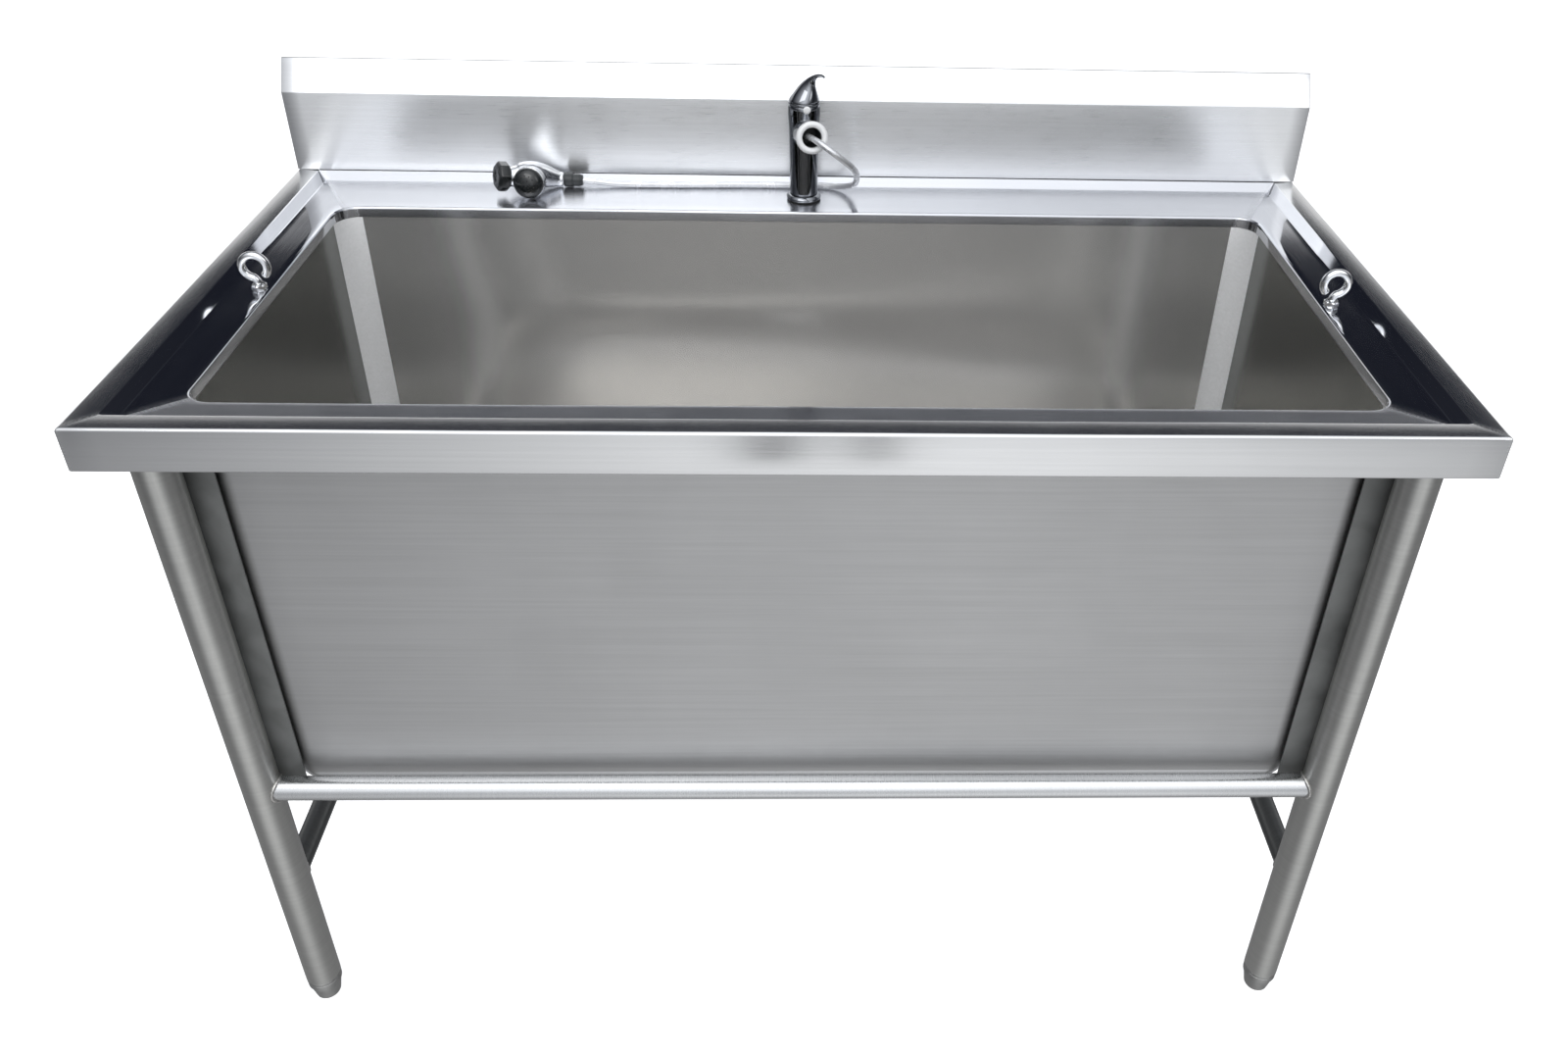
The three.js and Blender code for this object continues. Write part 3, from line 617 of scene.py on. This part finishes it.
def add_basin():
    top = basin_high.z
    floor = basin_low.z + FLOOR_FALL + SHEET
    walls = 26

    def skin_rings(depth):
        bend = FLOOR_BEND + depth
        low = floor - depth + bend
        rings = [opening_ring(depth, top + (low - top) * k / walls) for k in range(walls)]
        for k in range(10):
            angle = math.radians(10 * k)
            outset = depth - bend * (1 - math.cos(angle))
            rings.append(opening_ring(outset, floor - depth + bend * (1 - math.sin(angle))))
        count = 4 * SIDE_POINTS
        angles = [math.radians(225 + 360 * k / count) for k in range(count)]
        z = basin_low.z + SHEET - depth
        spokes = [Vector((math.cos(a) * DRAIN_HOLE, math.sin(a) * DRAIN_HOLE, z - DRAIN.z)) for a in angles]
        drain = [DRAIN + spoke for spoke in spokes]
        return rings + between(rings[-1], drain, 14) + [drain]

    inside = skin_rings(0.0)
    outside = skin_rings(SHEET)
    for line in inside + outside:
        for j, point in enumerate(line):
            point.y -= bulge(point, side_of(j), floor, top)
    rings = inside + list(reversed(outside))
    spine = distances([line[SIDE_POINTS // 2] for line in rings + rings[:1]])
    floor_bands = range(walls + 9, len(rings) - walls - 9)

    def uv(i, j):
        point = rings[i % len(rings)][j % len(rings[0])]
        if i in floor_bands:
            return point.y, point.x
        return spine[i], along_side(point, side_of(j))

    looks = [basin_steel, corner_highlight_steel, panel_steel, shaded_side_wall_steel, floor_steel, highlit_tube_steel]

    def look(i, j):
        place = j % SIDE_POINTS
        corner = place < ARC_STEPS or place >= SIDE_POINTS - ARC_STEPS
        # the inner corner coves take the near-white corner steel: a painted highlight
        if corner and i < walls + 5:
            return corner_highlight_steel
        if i >= len(inside):
            # the outside floor and bottom bend take the lighter tube steel: a painted highlight
            return panel_steel if i >= len(rings) - walls - 1 else highlit_tube_steel
        if i > walls + 8:
            return floor_steel
        # the side walls take the dark copy of the basin steel: painted shade
        return shaded_side_wall_steel if side_of(j) % 2 and i < walls + 3 else basin_steel

    def kind(i, j):
        return looks.index(look(i, j))

    basin = skin("basin_shell", rings, uv, closed=True, kind=kind, smooth=40)
    dress(basin, "brushed_steel", *looks, nodes=["basin"])


def bulge(point, side, floor, top):
    """How far the thin back wall bows into the basin, and the front wall a little outwards."""
    height = max(0.0, min(1.0, (point.z - floor) / (top - floor)))
    frame_hold = math.sin(math.pi * height) ** 0.8 if 0 < height < 1 else 0.0
    if side == 2:
        reach = 0.19 if point.x < -0.18 else 0.38
        swell = math.exp(-(((point.x + 0.18) / reach) ** 2))
        return 6.5 * MM * swell * math.exp(-(((point.z - 0.69) / 0.1) ** 2)) * min(1, 4 * (1 - height))
    if side == 0:
        return 1.2 * MM * frame_hold * math.cos(3.2 * point.x)
    return 0.0


# Backsplash

def add_backsplash():
    low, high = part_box("backsplash")
    front = high.y - RIM_WIDTH
    fold = RIM_Z + 91.5 * MM
    profile = rounded([
        (front, low.z - RIM_FALL / 2, 0), (front, fold, 3.5 * MM),
        (high.y, high.z, 1.2 * MM), (high.y, low.z, 0),
    ], 5)
    upright = [profile[0].lerp(profile[1], k / 8) for k in range(8)]
    band_start, band_end = profile[6], profile[7]
    band = [band_start.lerp(band_end, k / 4) for k in range(1, 4)]
    profile = upright + profile[1:7] + band + profile[7:]
    # the rounded top edge takes the dark dull steel: a painted dark line of shade
    shaded_top_edge = range(17, 22)
    steps = 60
    spine = distances([Vector((*point, 0)) for point in profile + profile[:1]])
    places = [low.x + (high.x - low.x) * k / steps for k in range(steps + 1)]
    rings = []
    for x in places:
        line = [Vector((x, y, z)) for y, z in profile]
        for point in line:
            if point.y < front + 1 * MM:
                point.y -= min(0.0, ripple(point, 5.2, 0.14, 0.5 * MM))
        rings.append(line)

    def uv(i, j):
        return spine[j], places[min(i, steps)]

    def kind(i, j):
        return int(j in shaded_top_edge)

    splash = skin("backsplash_sheet", rings, uv, capped=True, kind=kind)
    bevelled(splash, 0.8 * MM, 2, 60)
    dress(splash, "brushed_steel", splash_steel, dull_steel_and_edge_shade, nodes=["backsplash"])


# Frame

def tube(name, start, end, radius):
    """A welded tube: hollow, with its outside brushed round."""
    length = (end - start).length / MM
    inner, outer = (radius - SHEET) / MM, radius / MM
    profile = [(inner, 0, 0), (outer, 0, 0.3), (outer, length, 0.3), (inner, length, 0)]
    return lathe(name, profile, start, end - start)


def saddle(bar_radius, post_radius):
    """The line where a bar's end meets the side of a round post, in the bar's own frame."""
    points = []
    for k in range(64):
        angle = 2 * math.pi * k / 64
        across, up = bar_radius * math.cos(angle), bar_radius * math.sin(angle)
        points.append(Vector((math.sqrt(post_radius**2 - across**2), across, up)))
    return points


def add_bar(name, node, start, end, material):
    """A bar coped to two legs, with a weld bead where it meets each of them."""
    axis = (end - start).normalized()
    turn = Vector((1, 0, 0)).rotation_difference(axis)
    mouth = saddle(BAR_RADIUS, LEG_RADIUS)
    span = (end - start).length
    steps = 40
    rings = []
    for k in range(steps + 1):
        share = k / steps
        line = []
        for point in mouth:
            x = point.x + (span - 2 * point.x) * share
            line.append(start + turn @ Vector((x, point.y, point.z)))
        rings.append(line)
    girth = 2 * math.pi * BAR_RADIUS / len(mouth)
    bar = skin(name, rings, lambda i, j: (span * i / steps, j * girth), capped=True, smooth=50)
    dress(bar, "satin_tube", material, nodes=[node])
    bead = saddle(BAR_RADIUS + 0.6 * MM, LEG_RADIUS + 0.4 * MM)
    radii = [1.7 * MM * (1 + 0.16 * abs(math.sin(11 * math.pi * k / 64 * 2))) for k in range(64)]
    for number, hub, way in ((1, start, 1), (2, end, -1)):
        path = [hub + turn @ Vector((way * point.x, point.y, point.z)) for point in bead]
        weld = sweep(f"{name}_weld_{number}", path, radii, 10, loop=True, start_side=axis)
        dress(weld, "satin_tube", weld_metal)


def add_frame():
    for end in ("front", "rear"):
        for side in ("left", "right"):
            place = f"{end}_{side}"
            low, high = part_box(f"leg_{place}")
            middle = (low + high) / 2
            foot, top = Vector((middle.x, middle.y, low.z)), Vector((middle.x, middle.y, high.z))
            leg = tube(f"leg_tube_{place}", foot, top, LEG_RADIUS)
            dress(leg, "satin_tube", tube_steel, nodes=[f"leg_{place}"])
            ground = Vector((middle.x, middle.y, 0))
            add_foot(place, ground)
    # the front crossbar takes the lighter tube steel, a painted highlight; the rear one the plain tube steel
    for node, material in (("crossbar_front", highlit_tube_steel), ("crossbar_rear", tube_steel)):
        hub = centre(node)
        half = Vector((LEG.x, 0, 0))
        add_bar(f"{node}_tube", node, hub - half, hub + half, material)
    for side in ("left", "right"):
        hub = centre(f"side_bar_{side}")
        half = Vector((0, abs(LEG.y), 0))
        add_bar(f"side_bar_{side}_tube", f"side_bar_{side}", hub - half, hub + half, darker_tube_steel)


def add_foot(place, ground):
    foot = lathe(f"foot_bullet_{place}", [
        (0, 0, 0), (12, 0, 1.2), (13.6, 1.6, 1), (17.1, 20, 1.2), (17.2, 22, 0.4), (18.6, 23, 0.5),
        (18.6, 29.2, 0.6), (17.6, 30, 0.3), (6, 30, 0.2), (6, 74, 0.8), (0, 74, 0),
    ], ground)
    dress(foot, "polished_steel", cast_steel, body=f"foot_{place}", nodes=[f"foot_{place}"])
    insert = lathe(f"foot_socket_{place}", [
        (6.3, 30.3, 0.2), (18.9, 30.3, 0.5), (18.9, 34.3, 0.5), (17.2, 34.3, 0), (17.2, 62.3, 1),
        (6.3, 62.3, 0.5),
    ], ground)
    dress(insert, "satin_tube", cast_steel, nodes=[f"foot_insert_{place}"])


# Eye bolts

def hex_nut(name, base, bore, flats, height):
    """A nut with chamfered corners, standing on base. Sizes in millimetres."""
    count = 48
    angles = [2 * math.pi * k / count for k in range(count)]

    def reach(angle, size):
        return size / math.cos((angle + math.pi / 6) % (math.pi / 3) - math.pi / 6)

    chamfer = 0.09 * flats
    rows = [(bore, bore, 0), (bore, bore, height), (None, flats * 0.48, height),
            (flats / 2, None, height - chamfer), (flats / 2, None, chamfer), (None, flats * 0.48, 0)]
    rings = []
    for across, circle, z in rows:
        sizes = [circle if circle else reach(angle, across) for angle in angles]
        points = [Vector((s * math.cos(a), s * math.sin(a), z)) * MM for a, s in zip(angles, sizes)]
        rings.append([base + point for point in points])
    return skin(name, rings, lambda i, j: (i * MM, j * MM), closed=True, smooth=25)


def add_eye_bolts():
    shank_wire, wire, ring_radius, ring_height = 3.4 * MM, 3.9 * MM, 12.2 * MM, 25 * MM
    for side, inboard in (("left", 1), ("right", -1)):
        spot = centre(f"eye_nut_{side}")
        base = Vector((spot.x, spot.y, DECK_Z))
        hub = base + Vector((0, 0, ring_height))
        shank = [base + Vector((0, 0, z * MM)) for z in (-20, -12, -4, 2, 6, 9)]
        angles = [math.radians(a) for a in range(-104, -412, -7)]
        arc = [hub + Vector((inboard * math.cos(a), 0, math.sin(a))) * ring_radius for a in angles]
        path = centripetal([tuple(point) for point in shank + arc], 3)
        tip = (path[-1] - path[-2]).normalized()
        ends = [path[-1] + tip * wire * 0.5 * k for k in (0.6, 1.0, 1.2)]
        radii = [wire if point.z > base.z + 8 * MM else shank_wire for point in path]
        radii += [wire * 0.85, wire * 0.5, wire * 0.1]
        radii[0] = shank_wire * 0.8
        eye = sweep(f"eye_bolt_wire_{side}", path + ends, radii, 24, start_side=(0, 1, 0))
        dress(eye, "polished_steel", polished_steel, nodes=[f"eye_bolt_{side}"])
        nut = hex_nut(f"eye_bolt_nut_{side}", base + Vector((0, 0, 0.3 * MM)), 3.7, 13, 6.5)
        dress(nut, "polished_steel", polished_steel, nodes=[f"eye_nut_{side}"])
        under = Vector((spot.x, spot.y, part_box(f"eye_lock_nut_{side}")[0].z))
        lock = hex_nut(f"eye_bolt_lock_nut_{side}", under, 3.7, 13, 6.5)
        dress(lock, "satin_tube", turned_steel, nodes=[f"eye_lock_nut_{side}"])


# Mixer tap, in millimetres above the deck on the tap's axis

SOCKET = headed(10, 13)
SOCKET_ROOT = Vector((0, 0, 79))
SOCKET_REACH = 53.4


def add_tap():
    column = lathe("column", [
        (0, -52, 0), (15.6, -52, 0.5), (15.6, 8, 0.5), (16.4, 9, 1), (16.2, 22, 20), (16.8, 60, 40),
        (17.2, 84, 30), (18.4, 103, 12), (18.2, 110, 3), (17.4, 113, 0.8), (0, 113, 0),
    ], TAP, sides=96)
    spout_end = SOCKET_REACH - 4.8
    spout = lathe("spout", [
        (0, 0, 0), (13, 0, 0), (15.6, 18, 8), (15.9, spout_end - 3, 6), (15.2, spout_end, 0.6),
        (0, spout_end, 0),
    ], TAP + SOCKET_ROOT * MM, SOCKET, 96)
    body = fused("tap_column", [column, spout], 0.55 * MM)
    bore_profile = [(0, 12, 0), (10.8, 12, 0), (10.8, 70, 0), (0, 70, 0)]
    bore = lathe("bore", bore_profile, TAP + SOCKET_ROOT * MM, SOCKET)
    seat = lathe("seat", [(0, 97, 0), (13.7, 97, 0), (13.7, 120, 0), (0, 120, 0)], TAP)
    bored(body, [bore, seat])
    dress(body, "chrome", chrome, grey_plastic, nodes=["tap_body"])
    for face in body.data.polygons:
        arm = face.center - (TAP + SOCKET_ROOT * MM)
        along = arm.dot(SOCKET)
        inside = (arm - SOCKET * along).length < 10.9 * MM and along > 10 * MM
        face.material_index = int(inside)

    mouth = TAP + (SOCKET_ROOT + SOCKET * SOCKET_REACH) * MM
    guide = lathe("tap_hose_guide", [
        (11, -4.2, 1.5), (17.6, -4.2, 1.2), (18, 2.4, 3.4), (14.4, 4.5, 3), (11, 2.4, 2.4),
    ], mouth, SOCKET)
    dress(guide, "white_plastic", white_plastic, nodes=["tap_guide_ring"])
    dot_axis = headed(10, 0)
    dot = lathe("tap_index_dot", [
        (0, 0, 0), (4.3, 0, 0.2), (4.3, 0.8, 0.5), (2.6, 1.6, 2), (0, 1.8, 0),
    ], TAP + Vector((0, 0, 111 * MM)) + dot_axis * 18.8 * MM, dot_axis, 48)
    dress(dot, "white_plastic", white_plastic, nodes=["tap_index_button"])


def add_tap_rings():
    flange = lathe("tap_base_flange", [
        (15.9, 2.1, 0.2), (20, 2.1, 0.4), (20, 4.6, 0.8), (18, 7, 1.5), (15.9, 7.6, 0.2),
    ], TAP)
    dress(flange, "chrome", chrome, nodes=["tap_base_ring"])
    gasket = lathe("tap_seal", [
        (15.9, 0.3, 0.1), (19.2, 0.3, 0.4), (19.2, 1.8, 0.4), (15.9, 1.8, 0.1),
    ], TAP)
    dress(gasket, "rubber", rubber, nodes=["tap_gasket"])
    cap = lathe("tap_cap_ring", [
        (0, 103, 0), (5, 103, 0.3), (5, 113.3, 0.3), (17.4, 113.3, 0.4), (18.2, 114, 0.5),
        (17.9, 116.2, 0.7), (0, 116.2, 0),
    ], TAP)
    dress(cap, "chrome", chrome, body="tap_cap", nodes=["tap_cap"])


def add_lever():
    """A low dome drawn up into a shark's fin that curls over at its tip."""
    stations = [
        (-17.6, 116.5, 17.6, 116.5, 17.6), (-17.2, 118, 17.5, 118, 17.4), (-14.9, 121.8, 16.7, 122, 15.4),
        (-11.6, 126.4, 15.6, 127, 12), (-7.6, 131.6, 14.5, 131.8, 8.8), (-3, 136.6, 13.8, 136.2, 6.8),
        (2.4, 141.3, 14.2, 140.2, 5.7), (8.4, 145.3, 16.2, 143.4, 5), (14.2, 148.1, 19, 145.4, 4.4),
        (19.3, 149.3, 22.3, 146.2, 3.8), (23.6, 148.7, 24.8, 145.8, 3), (26.6, 147, 26.6, 145.3, 1.9),
    ]
    turn = Matrix.Rotation(math.radians(60 - 90), 3, "Z")
    sides = 32
    rings = []
    for level, (back, back_z, front, front_z, thick) in enumerate(stations):
        middle = Vector(((back + front) / 2, 0, (back_z + front_z) / 2))
        reach = Vector(((front - back) / 2, 0, (front_z - back_z) / 2))
        line = []
        for k in range(sides):
            angle = 2 * math.pi * k / sides
            point = middle + reach * math.cos(angle) + Vector((0, thick * math.sin(angle), 0))
            if level < 2 and point.x < -12:
                # the heel is cut away, so that it clears the cap when the lever is up
                point.z += (-12 - point.x) * math.tan(math.radians(24)) * (1 - 0.4 * level)
            line.append(TAP + turn @ point * MM)
        rings.append(line)
    lever = skin("tap_lever_fin", rings, lambda i, j: (i * MM, j * MM), capped=True, smooth=50)
    crease = lever.data.attributes.new("crease_edge", "FLOAT", "EDGE")
    base_z = TAP.z + 119.2 * MM
    for edge in lever.data.edges:
        ends = [lever.data.vertices[k].co for k in edge.vertices]
        if all(end.z < base_z for end in ends) and abs(ends[0].z - ends[1].z) < 0.6 * MM:
            crease.data[edge.index].value = 0.7
    subdivide = lever.modifiers.new("subdivide", "SUBSURF")
    subdivide.levels = subdivide.render_levels = 2
    baked(lever)
    lever.data.set_sharp_from_angle(angle=math.radians(50))
    dress(lever, "chrome", chrome, body="tap_lever", nodes=["tap_lever"])


# Handset, in millimetres in the part's frame

HANDSET_STATIONS = [
    (-283, 260.5, 799, 8.2), (-289, 260, 799.8, 9.2), (-297, 256.8, 802.8, 11.6), (-306, 251.6, 806.8, 14.2),
    (-315, 247, 809.4, 15.8), (-323.5, 242.8, 810.8, 15.6), (-330.7, 239.1, 810.2, 14),
    (-336.7, 235.9, 810.9, 12.4), (-340.5, 233.9, 811.7, 11.6),
]
BELL_ROOT = Vector((-312.8, 237, 807.2))
BELL_AXIS = Vector((-0.1, -0.98, 0.17)).normalized()
KNOB_ROOT = Vector((-341.3, 233.5, 811.9))
KNOB_AXIS = Vector((-0.86, -0.46, 0.2)).normalized()


def add_handset():
    line = centripetal(HANDSET_STATIONS, 6)
    handle = sweep("handle", [Vector(p[:3]) * MM for p in line], [p[3] * MM for p in line], 40)
    bell = lathe("bell", [
        (0, 0, 0), (12.5, 0, 3), (17, 6, 4), (18, 14, 3), (18, 18.9, 0.8), (0, 18.9, 0),
    ], BELL_ROOT * MM, BELL_AXIS, 96)
    body = fused("handset_shell", [handle, bell], 0.5 * MM)
    dress(body, "chrome", highlit_chrome, body="handset", nodes=["handset_body"])
    face = lathe("spray_dome", [
        (0, 19.3, 0), (17.6, 19.3, 0.6), (17.2, 23, 5), (14.4, 27.5, 9), (8, 30.7, 14), (0, 31.6, 0),
    ], BELL_ROOT * MM, BELL_AXIS, 96)
    dress(face, "black_plastic", black_plastic, body="handset", nodes=["spray_face"])
    add_nozzles()
    knob = lathe("spray_mode_knob", [
        (0, 0, 0), (15, 0, 0), (17.2, 2, 0), (17.2, 11, 0), (14, 14, 0), (7, 14, 0), (6, 13, 0), (0, 13, 0),
    ], KNOB_ROOT * MM, KNOB_AXIS, 8, 20)
    bevelled(knob, 0.7 * MM, 3, 20)
    dress(knob, "black_plastic", black_plastic, body="mode_knob", nodes=["mode_knob"])
    collar = lathe("hose_coupling_collar", [
        (0, 0, 0), (7.6, 0, 0.4), (8.2, 2.5, 0.8), (8.2, 10, 0.8), (7.2, 11.4, 0.6), (7.2, 18, 0.6),
        (6, 22, 0.6), (0, 22, 0),
    ], Vector((-282, 260.5, 799)) * MM, (1, 0, -0.03))
    dress(collar, "black_plastic", grey_plastic, body="handset", nodes=["hose_coupling"])


def add_nozzles():
    """Rubber nozzles in two rings on the spray dome."""
    turn = Vector((0, 0, 1)).rotation_difference(BELL_AXIS)
    profile = [(0, -0.5, 0), (0.9, -0.5, 0), (0.7, 0.7, 0.3), (0, 0.7, 0)]
    studs = []
    for count, radius, height in ((6, 4.5, 31.0), (12, 9.5, 29.6)):
        for k in range(count):
            angle = 2 * math.pi * k / count
            foot = BELL_ROOT + turn @ Vector((radius * math.cos(angle), radius * math.sin(angle), height))
            lean = (BELL_AXIS * 30 + (foot - BELL_ROOT - BELL_AXIS * height)).normalized()
            studs.append(lathe("stud", profile, foot * MM, lean, 16))
    dress(gathered("spray_nozzles", studs), "black_plastic", rubber, body="handset")


# Drain and fittings under the basin, in millimetres from the drain hole's lower edge

def add_drain():
    body = lathe("drain_flange", [
        (44, 2.4, 0.3), (56, 2.4, 0.3), (56, 3.4, 0.4), (54, 4.4, 0.6), (42, 4.4, 1), (40, -16, 4),
        (19, -19, 1), (19, -40, 0.4), (22, -40, 0.4), (22, -21, 1), (44, -17, 3),
    ], DRAIN, sides=96)
    dress(body, "polished_steel", turned_steel, nodes=["drain_body"])
    seal = lathe("drain_seal", [
        (44.4, -3.3, 0.4), (56, -3.3, 0.8), (56, -0.3, 0.8), (44.4, -0.3, 0.4),
    ], DRAIN, sides=96)
    dress(seal, "rubber", rubber, nodes=["drain_gasket"])
    nut = hex_nut("drain_clamp_nut", DRAIN + Vector((0, 0, -12 * MM)), 44.4, 108, 8.4)
    dress(nut, "brass", brass, nodes=["drain_locknut"])
    pipe = lathe("drain_pipe", [
        (22.4, -95, 0.4), (25, -95, 0.6), (25, -38, 1), (28, -36, 1), (28, -27, 1), (22.4, -27, 0.4),
    ], DRAIN, sides=80)
    dress(pipe, "polished_steel", turned_steel, nodes=["drain_tailpiece"])
    plate = lathe("hair_strainer", [
        (0, 8.8, 0), (20, 8.4, 30), (34, 6.8, 6), (42, 4.9, 1), (45.6, 4.8, 0.3), (45.9, 5.6, 0.3),
        (36, 8.2, 12), (20, 9.8, 30), (6, 10.2, 1), (5, 14, 2), (7, 17, 1.2), (7, 20, 1.5), (0, 20, 0),
    ], DRAIN, sides=96)
    holes = []
    for count, radius in ((6, 17), (12, 29)):
        for k in range(count):
            angle = 2 * math.pi * k / count
            spot = DRAIN + Vector((math.cos(angle), math.sin(angle), 0)) * radius * MM
            holes.append(lathe("hole", [(0, 2, 0), (3, 2, 0), (3, 15, 0), (0, 15, 0)], spot, sides=20))
    bored(plate, [gathered("holes", holes)])
    dress(plate, "polished_steel", turned_steel, body="strainer", nodes=["drain_strainer"])


def add_supply_parts():
    nut = hex_nut("tap_clamp_nut", Vector((TAP.x, TAP.y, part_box("tap_backnut")[0].z)), 15.9, 40, 10)
    dress(nut, "brass", brass, nodes=["tap_backnut"])
    for name in ("hot", "cold"):
        spot = centre(f"inlet_tail_{name}")
        foot = Vector((spot.x, spot.y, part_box(f"inlet_tail_{name}")[0].z))
        tail = lathe(f"supply_tail_{name}", [
            (3.2, 0, 0.2), (4.8, 0, 0.3), (4.8, 65, 0.3), (3.2, 65, 0.2),
        ], foot, sides=32)
        dress(tail, "brass", brass, nodes=[f"inlet_tail_{name}"])


def finish_cad_nodes():
    """Rails, mount plates, tie angles and the cartridge keep their CAD shapes, with softened edges."""
    for name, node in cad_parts.items():
        if node.hide_render:
            continue
        weld = node.modifiers.new("weld", "WELD")
        weld.merge_threshold = 0.01 * MM
        bevel = node.modifiers.new("bevel", "BEVEL")
        bevel.width = 0.35 * MM
        bevel.segments = 2
        bevel.limit_method = "ANGLE"
        bevel.angle_limit = math.radians(40)
        node.data.materials.clear()
        node.data.materials.append(white_plastic if name == "tap_cartridge" else dull_steel_and_edge_shade)


# Studio

def add_floor():
    build = bmesh.new()
    bmesh.ops.create_grid(build, x_segments=8, y_segments=8, size=14)
    floor = finish_mesh("studio_floor", build)
    material, nodes, surface = shader("pale_floor", Emission_Color=(1, 1, 1, 1), Emission_Strength=0.75)
    place = nodes.add("ShaderNodeTexCoord").outputs["Object"]
    cloud = nodes.noise(place, 2.5, 4)
    shades = [(0.3, (0.86, 0.87, 0.88)), (0.7, (0.89, 0.895, 0.90))]
    link(nodes, surface, Base_Color=nodes.ramp(cloud, shades), Roughness=nodes.spread(cloud, 0.75, 0.85))
    floor.data.materials.append(material)
    floor.visible_glossy = False
    floor.visible_diffuse = False
    floor.visible_shadow = False


# Soft glows round the studio: azimuth from the front to the right, elevation, sharpness, colour
GLOWS = [
    (0, 52, 3.5, (1.35, 1.365, 1.39)),
    (0, 14, 10, (0.7, 0.72, 0.75)),
    (0, 90, 7, (0.7, 0.72, 0.75)),
    (75, 50, 8, (0.25, 0.26, 0.28)),
    (-75, 50, 8, (0.25, 0.26, 0.28)),
]
FLOOR_GLOWS = [
    (6, -34, 7, (0.94, 0.95, 0.96)),
    (90, -25, 4, (0.26, 0.26, 0.26)),
    (-90, -25, 4, (0.26, 0.26, 0.26)),
    (180, -30, 4, (0.20, 0.20, 0.20)),
    (0, -90, 4, (0.30, 0.30, 0.30)),
]
# Dark gaps in the floor's light: place across, half width, what is left of the light
GAPS = [(-0.028, 0.028, 0.05), (0.052, 0.022, 0.15)]
NIGHT = (0.010, 0.012, 0.020)


def add_world():
    """Glows in a dark room, a pale floor in front, and a pale wall low down behind."""
    world = bpy.data.worlds.new("studio")
    bpy.context.scene.world = world
    world.use_nodes = True
    nodes = Nodes(world.node_tree)
    view = nodes.add("ShaderNodeTexCoord").outputs["Generated"]
    across, away, up = nodes.add("ShaderNodeSeparateXYZ", {0: view}).outputs

    def facing(azimuth, elevation, sharpness):
        inputs = {0: view, 1: headed(azimuth, elevation)}
        dot = nodes.add("ShaderNodeVectorMath", inputs, operation="DOT_PRODUCT").outputs["Value"]
        return nodes.math("POWER", nodes.math("MAXIMUM", dot, 0.0), sharpness)

    def lit(total, colour, amount):
        glow = nodes.add("ShaderNodeVectorMath", {0: colour, "Scale": amount}, operation="SCALE").outputs[0]
        return nodes.add("ShaderNodeVectorMath", {0: glow, 1: total}, operation="ADD").outputs[0]

    total = NIGHT
    for azimuth, elevation, sharpness, colour in GLOWS:
        total = lit(total, colour, facing(azimuth, elevation, sharpness))
    below = nodes.step(up, 0.1, -0.15)
    for azimuth, elevation, sharpness, colour in FLOOR_GLOWS:
        total = lit(total, colour, nodes.math("MULTIPLY", below, facing(azimuth, elevation, sharpness)))
    wall = nodes.math("MULTIPLY", nodes.step(up, 0.368, 0.346), nodes.step(away, 0.3, 0.7))
    wall = nodes.math("MULTIPLY", wall, nodes.step(up, -0.2, 0.0))
    total = lit(total, (1.0, 1.0, 1.0), wall)
    front_floor = nodes.math("MULTIPLY", below, nodes.step(away, 0.0, -0.5))
    front_floor = nodes.math("MULTIPLY", front_floor, nodes.step(up, -0.62, -0.56))
    for place, width, light in GAPS:
        gap = nodes.step(nodes.math("ABSOLUTE", nodes.math("SUBTRACT", across, place)), width, width * 0.4)
        dim = nodes.spread(nodes.math("MULTIPLY", gap, front_floor), 1.0, light, 0.0, 1.0)
        total = nodes.add("ShaderNodeVectorMath", {0: total, "Scale": dim}, operation="SCALE").outputs[0]
    background = nodes.add("ShaderNodeBackground", {"Color": total, "Strength": 1.0})
    nodes.add("ShaderNodeOutputWorld", {"Surface": background.outputs[0]})


def add_light(name, place, target, width, height, power):
    data = bpy.data.lights.new(name, "AREA")
    data.shape = "RECTANGLE"
    data.size = width
    data.size_y = height
    data.energy = power
    light = bpy.data.objects.new(name, data)
    bpy.context.scene.collection.objects.link(light)
    light.location = place
    light.rotation_euler = (Vector(target) - Vector(place)).to_track_quat("-Z", "Y").to_euler()


def add_studio():
    bpy.context.scene.view_settings.view_transform = "Standard"
    add_floor()
    add_world()
    add_light("key_softbox", (-0.9, -2.0, 3.2), (0, 0, 0.5), 2.2, 1.4, 18)
    add_light("fill_softbox", (2.2, -1.6, 2.4), (0, 0, 0.5), 1.2, 1.6, 8)


add_camera()
add_handset()
add_hose()
add_deck()
add_basin()
add_backsplash()
add_frame()
add_eye_bolts()
add_tap()
add_tap_rings()
add_lever()
add_drain()
add_supply_parts()
finish_cad_nodes()
add_studio()
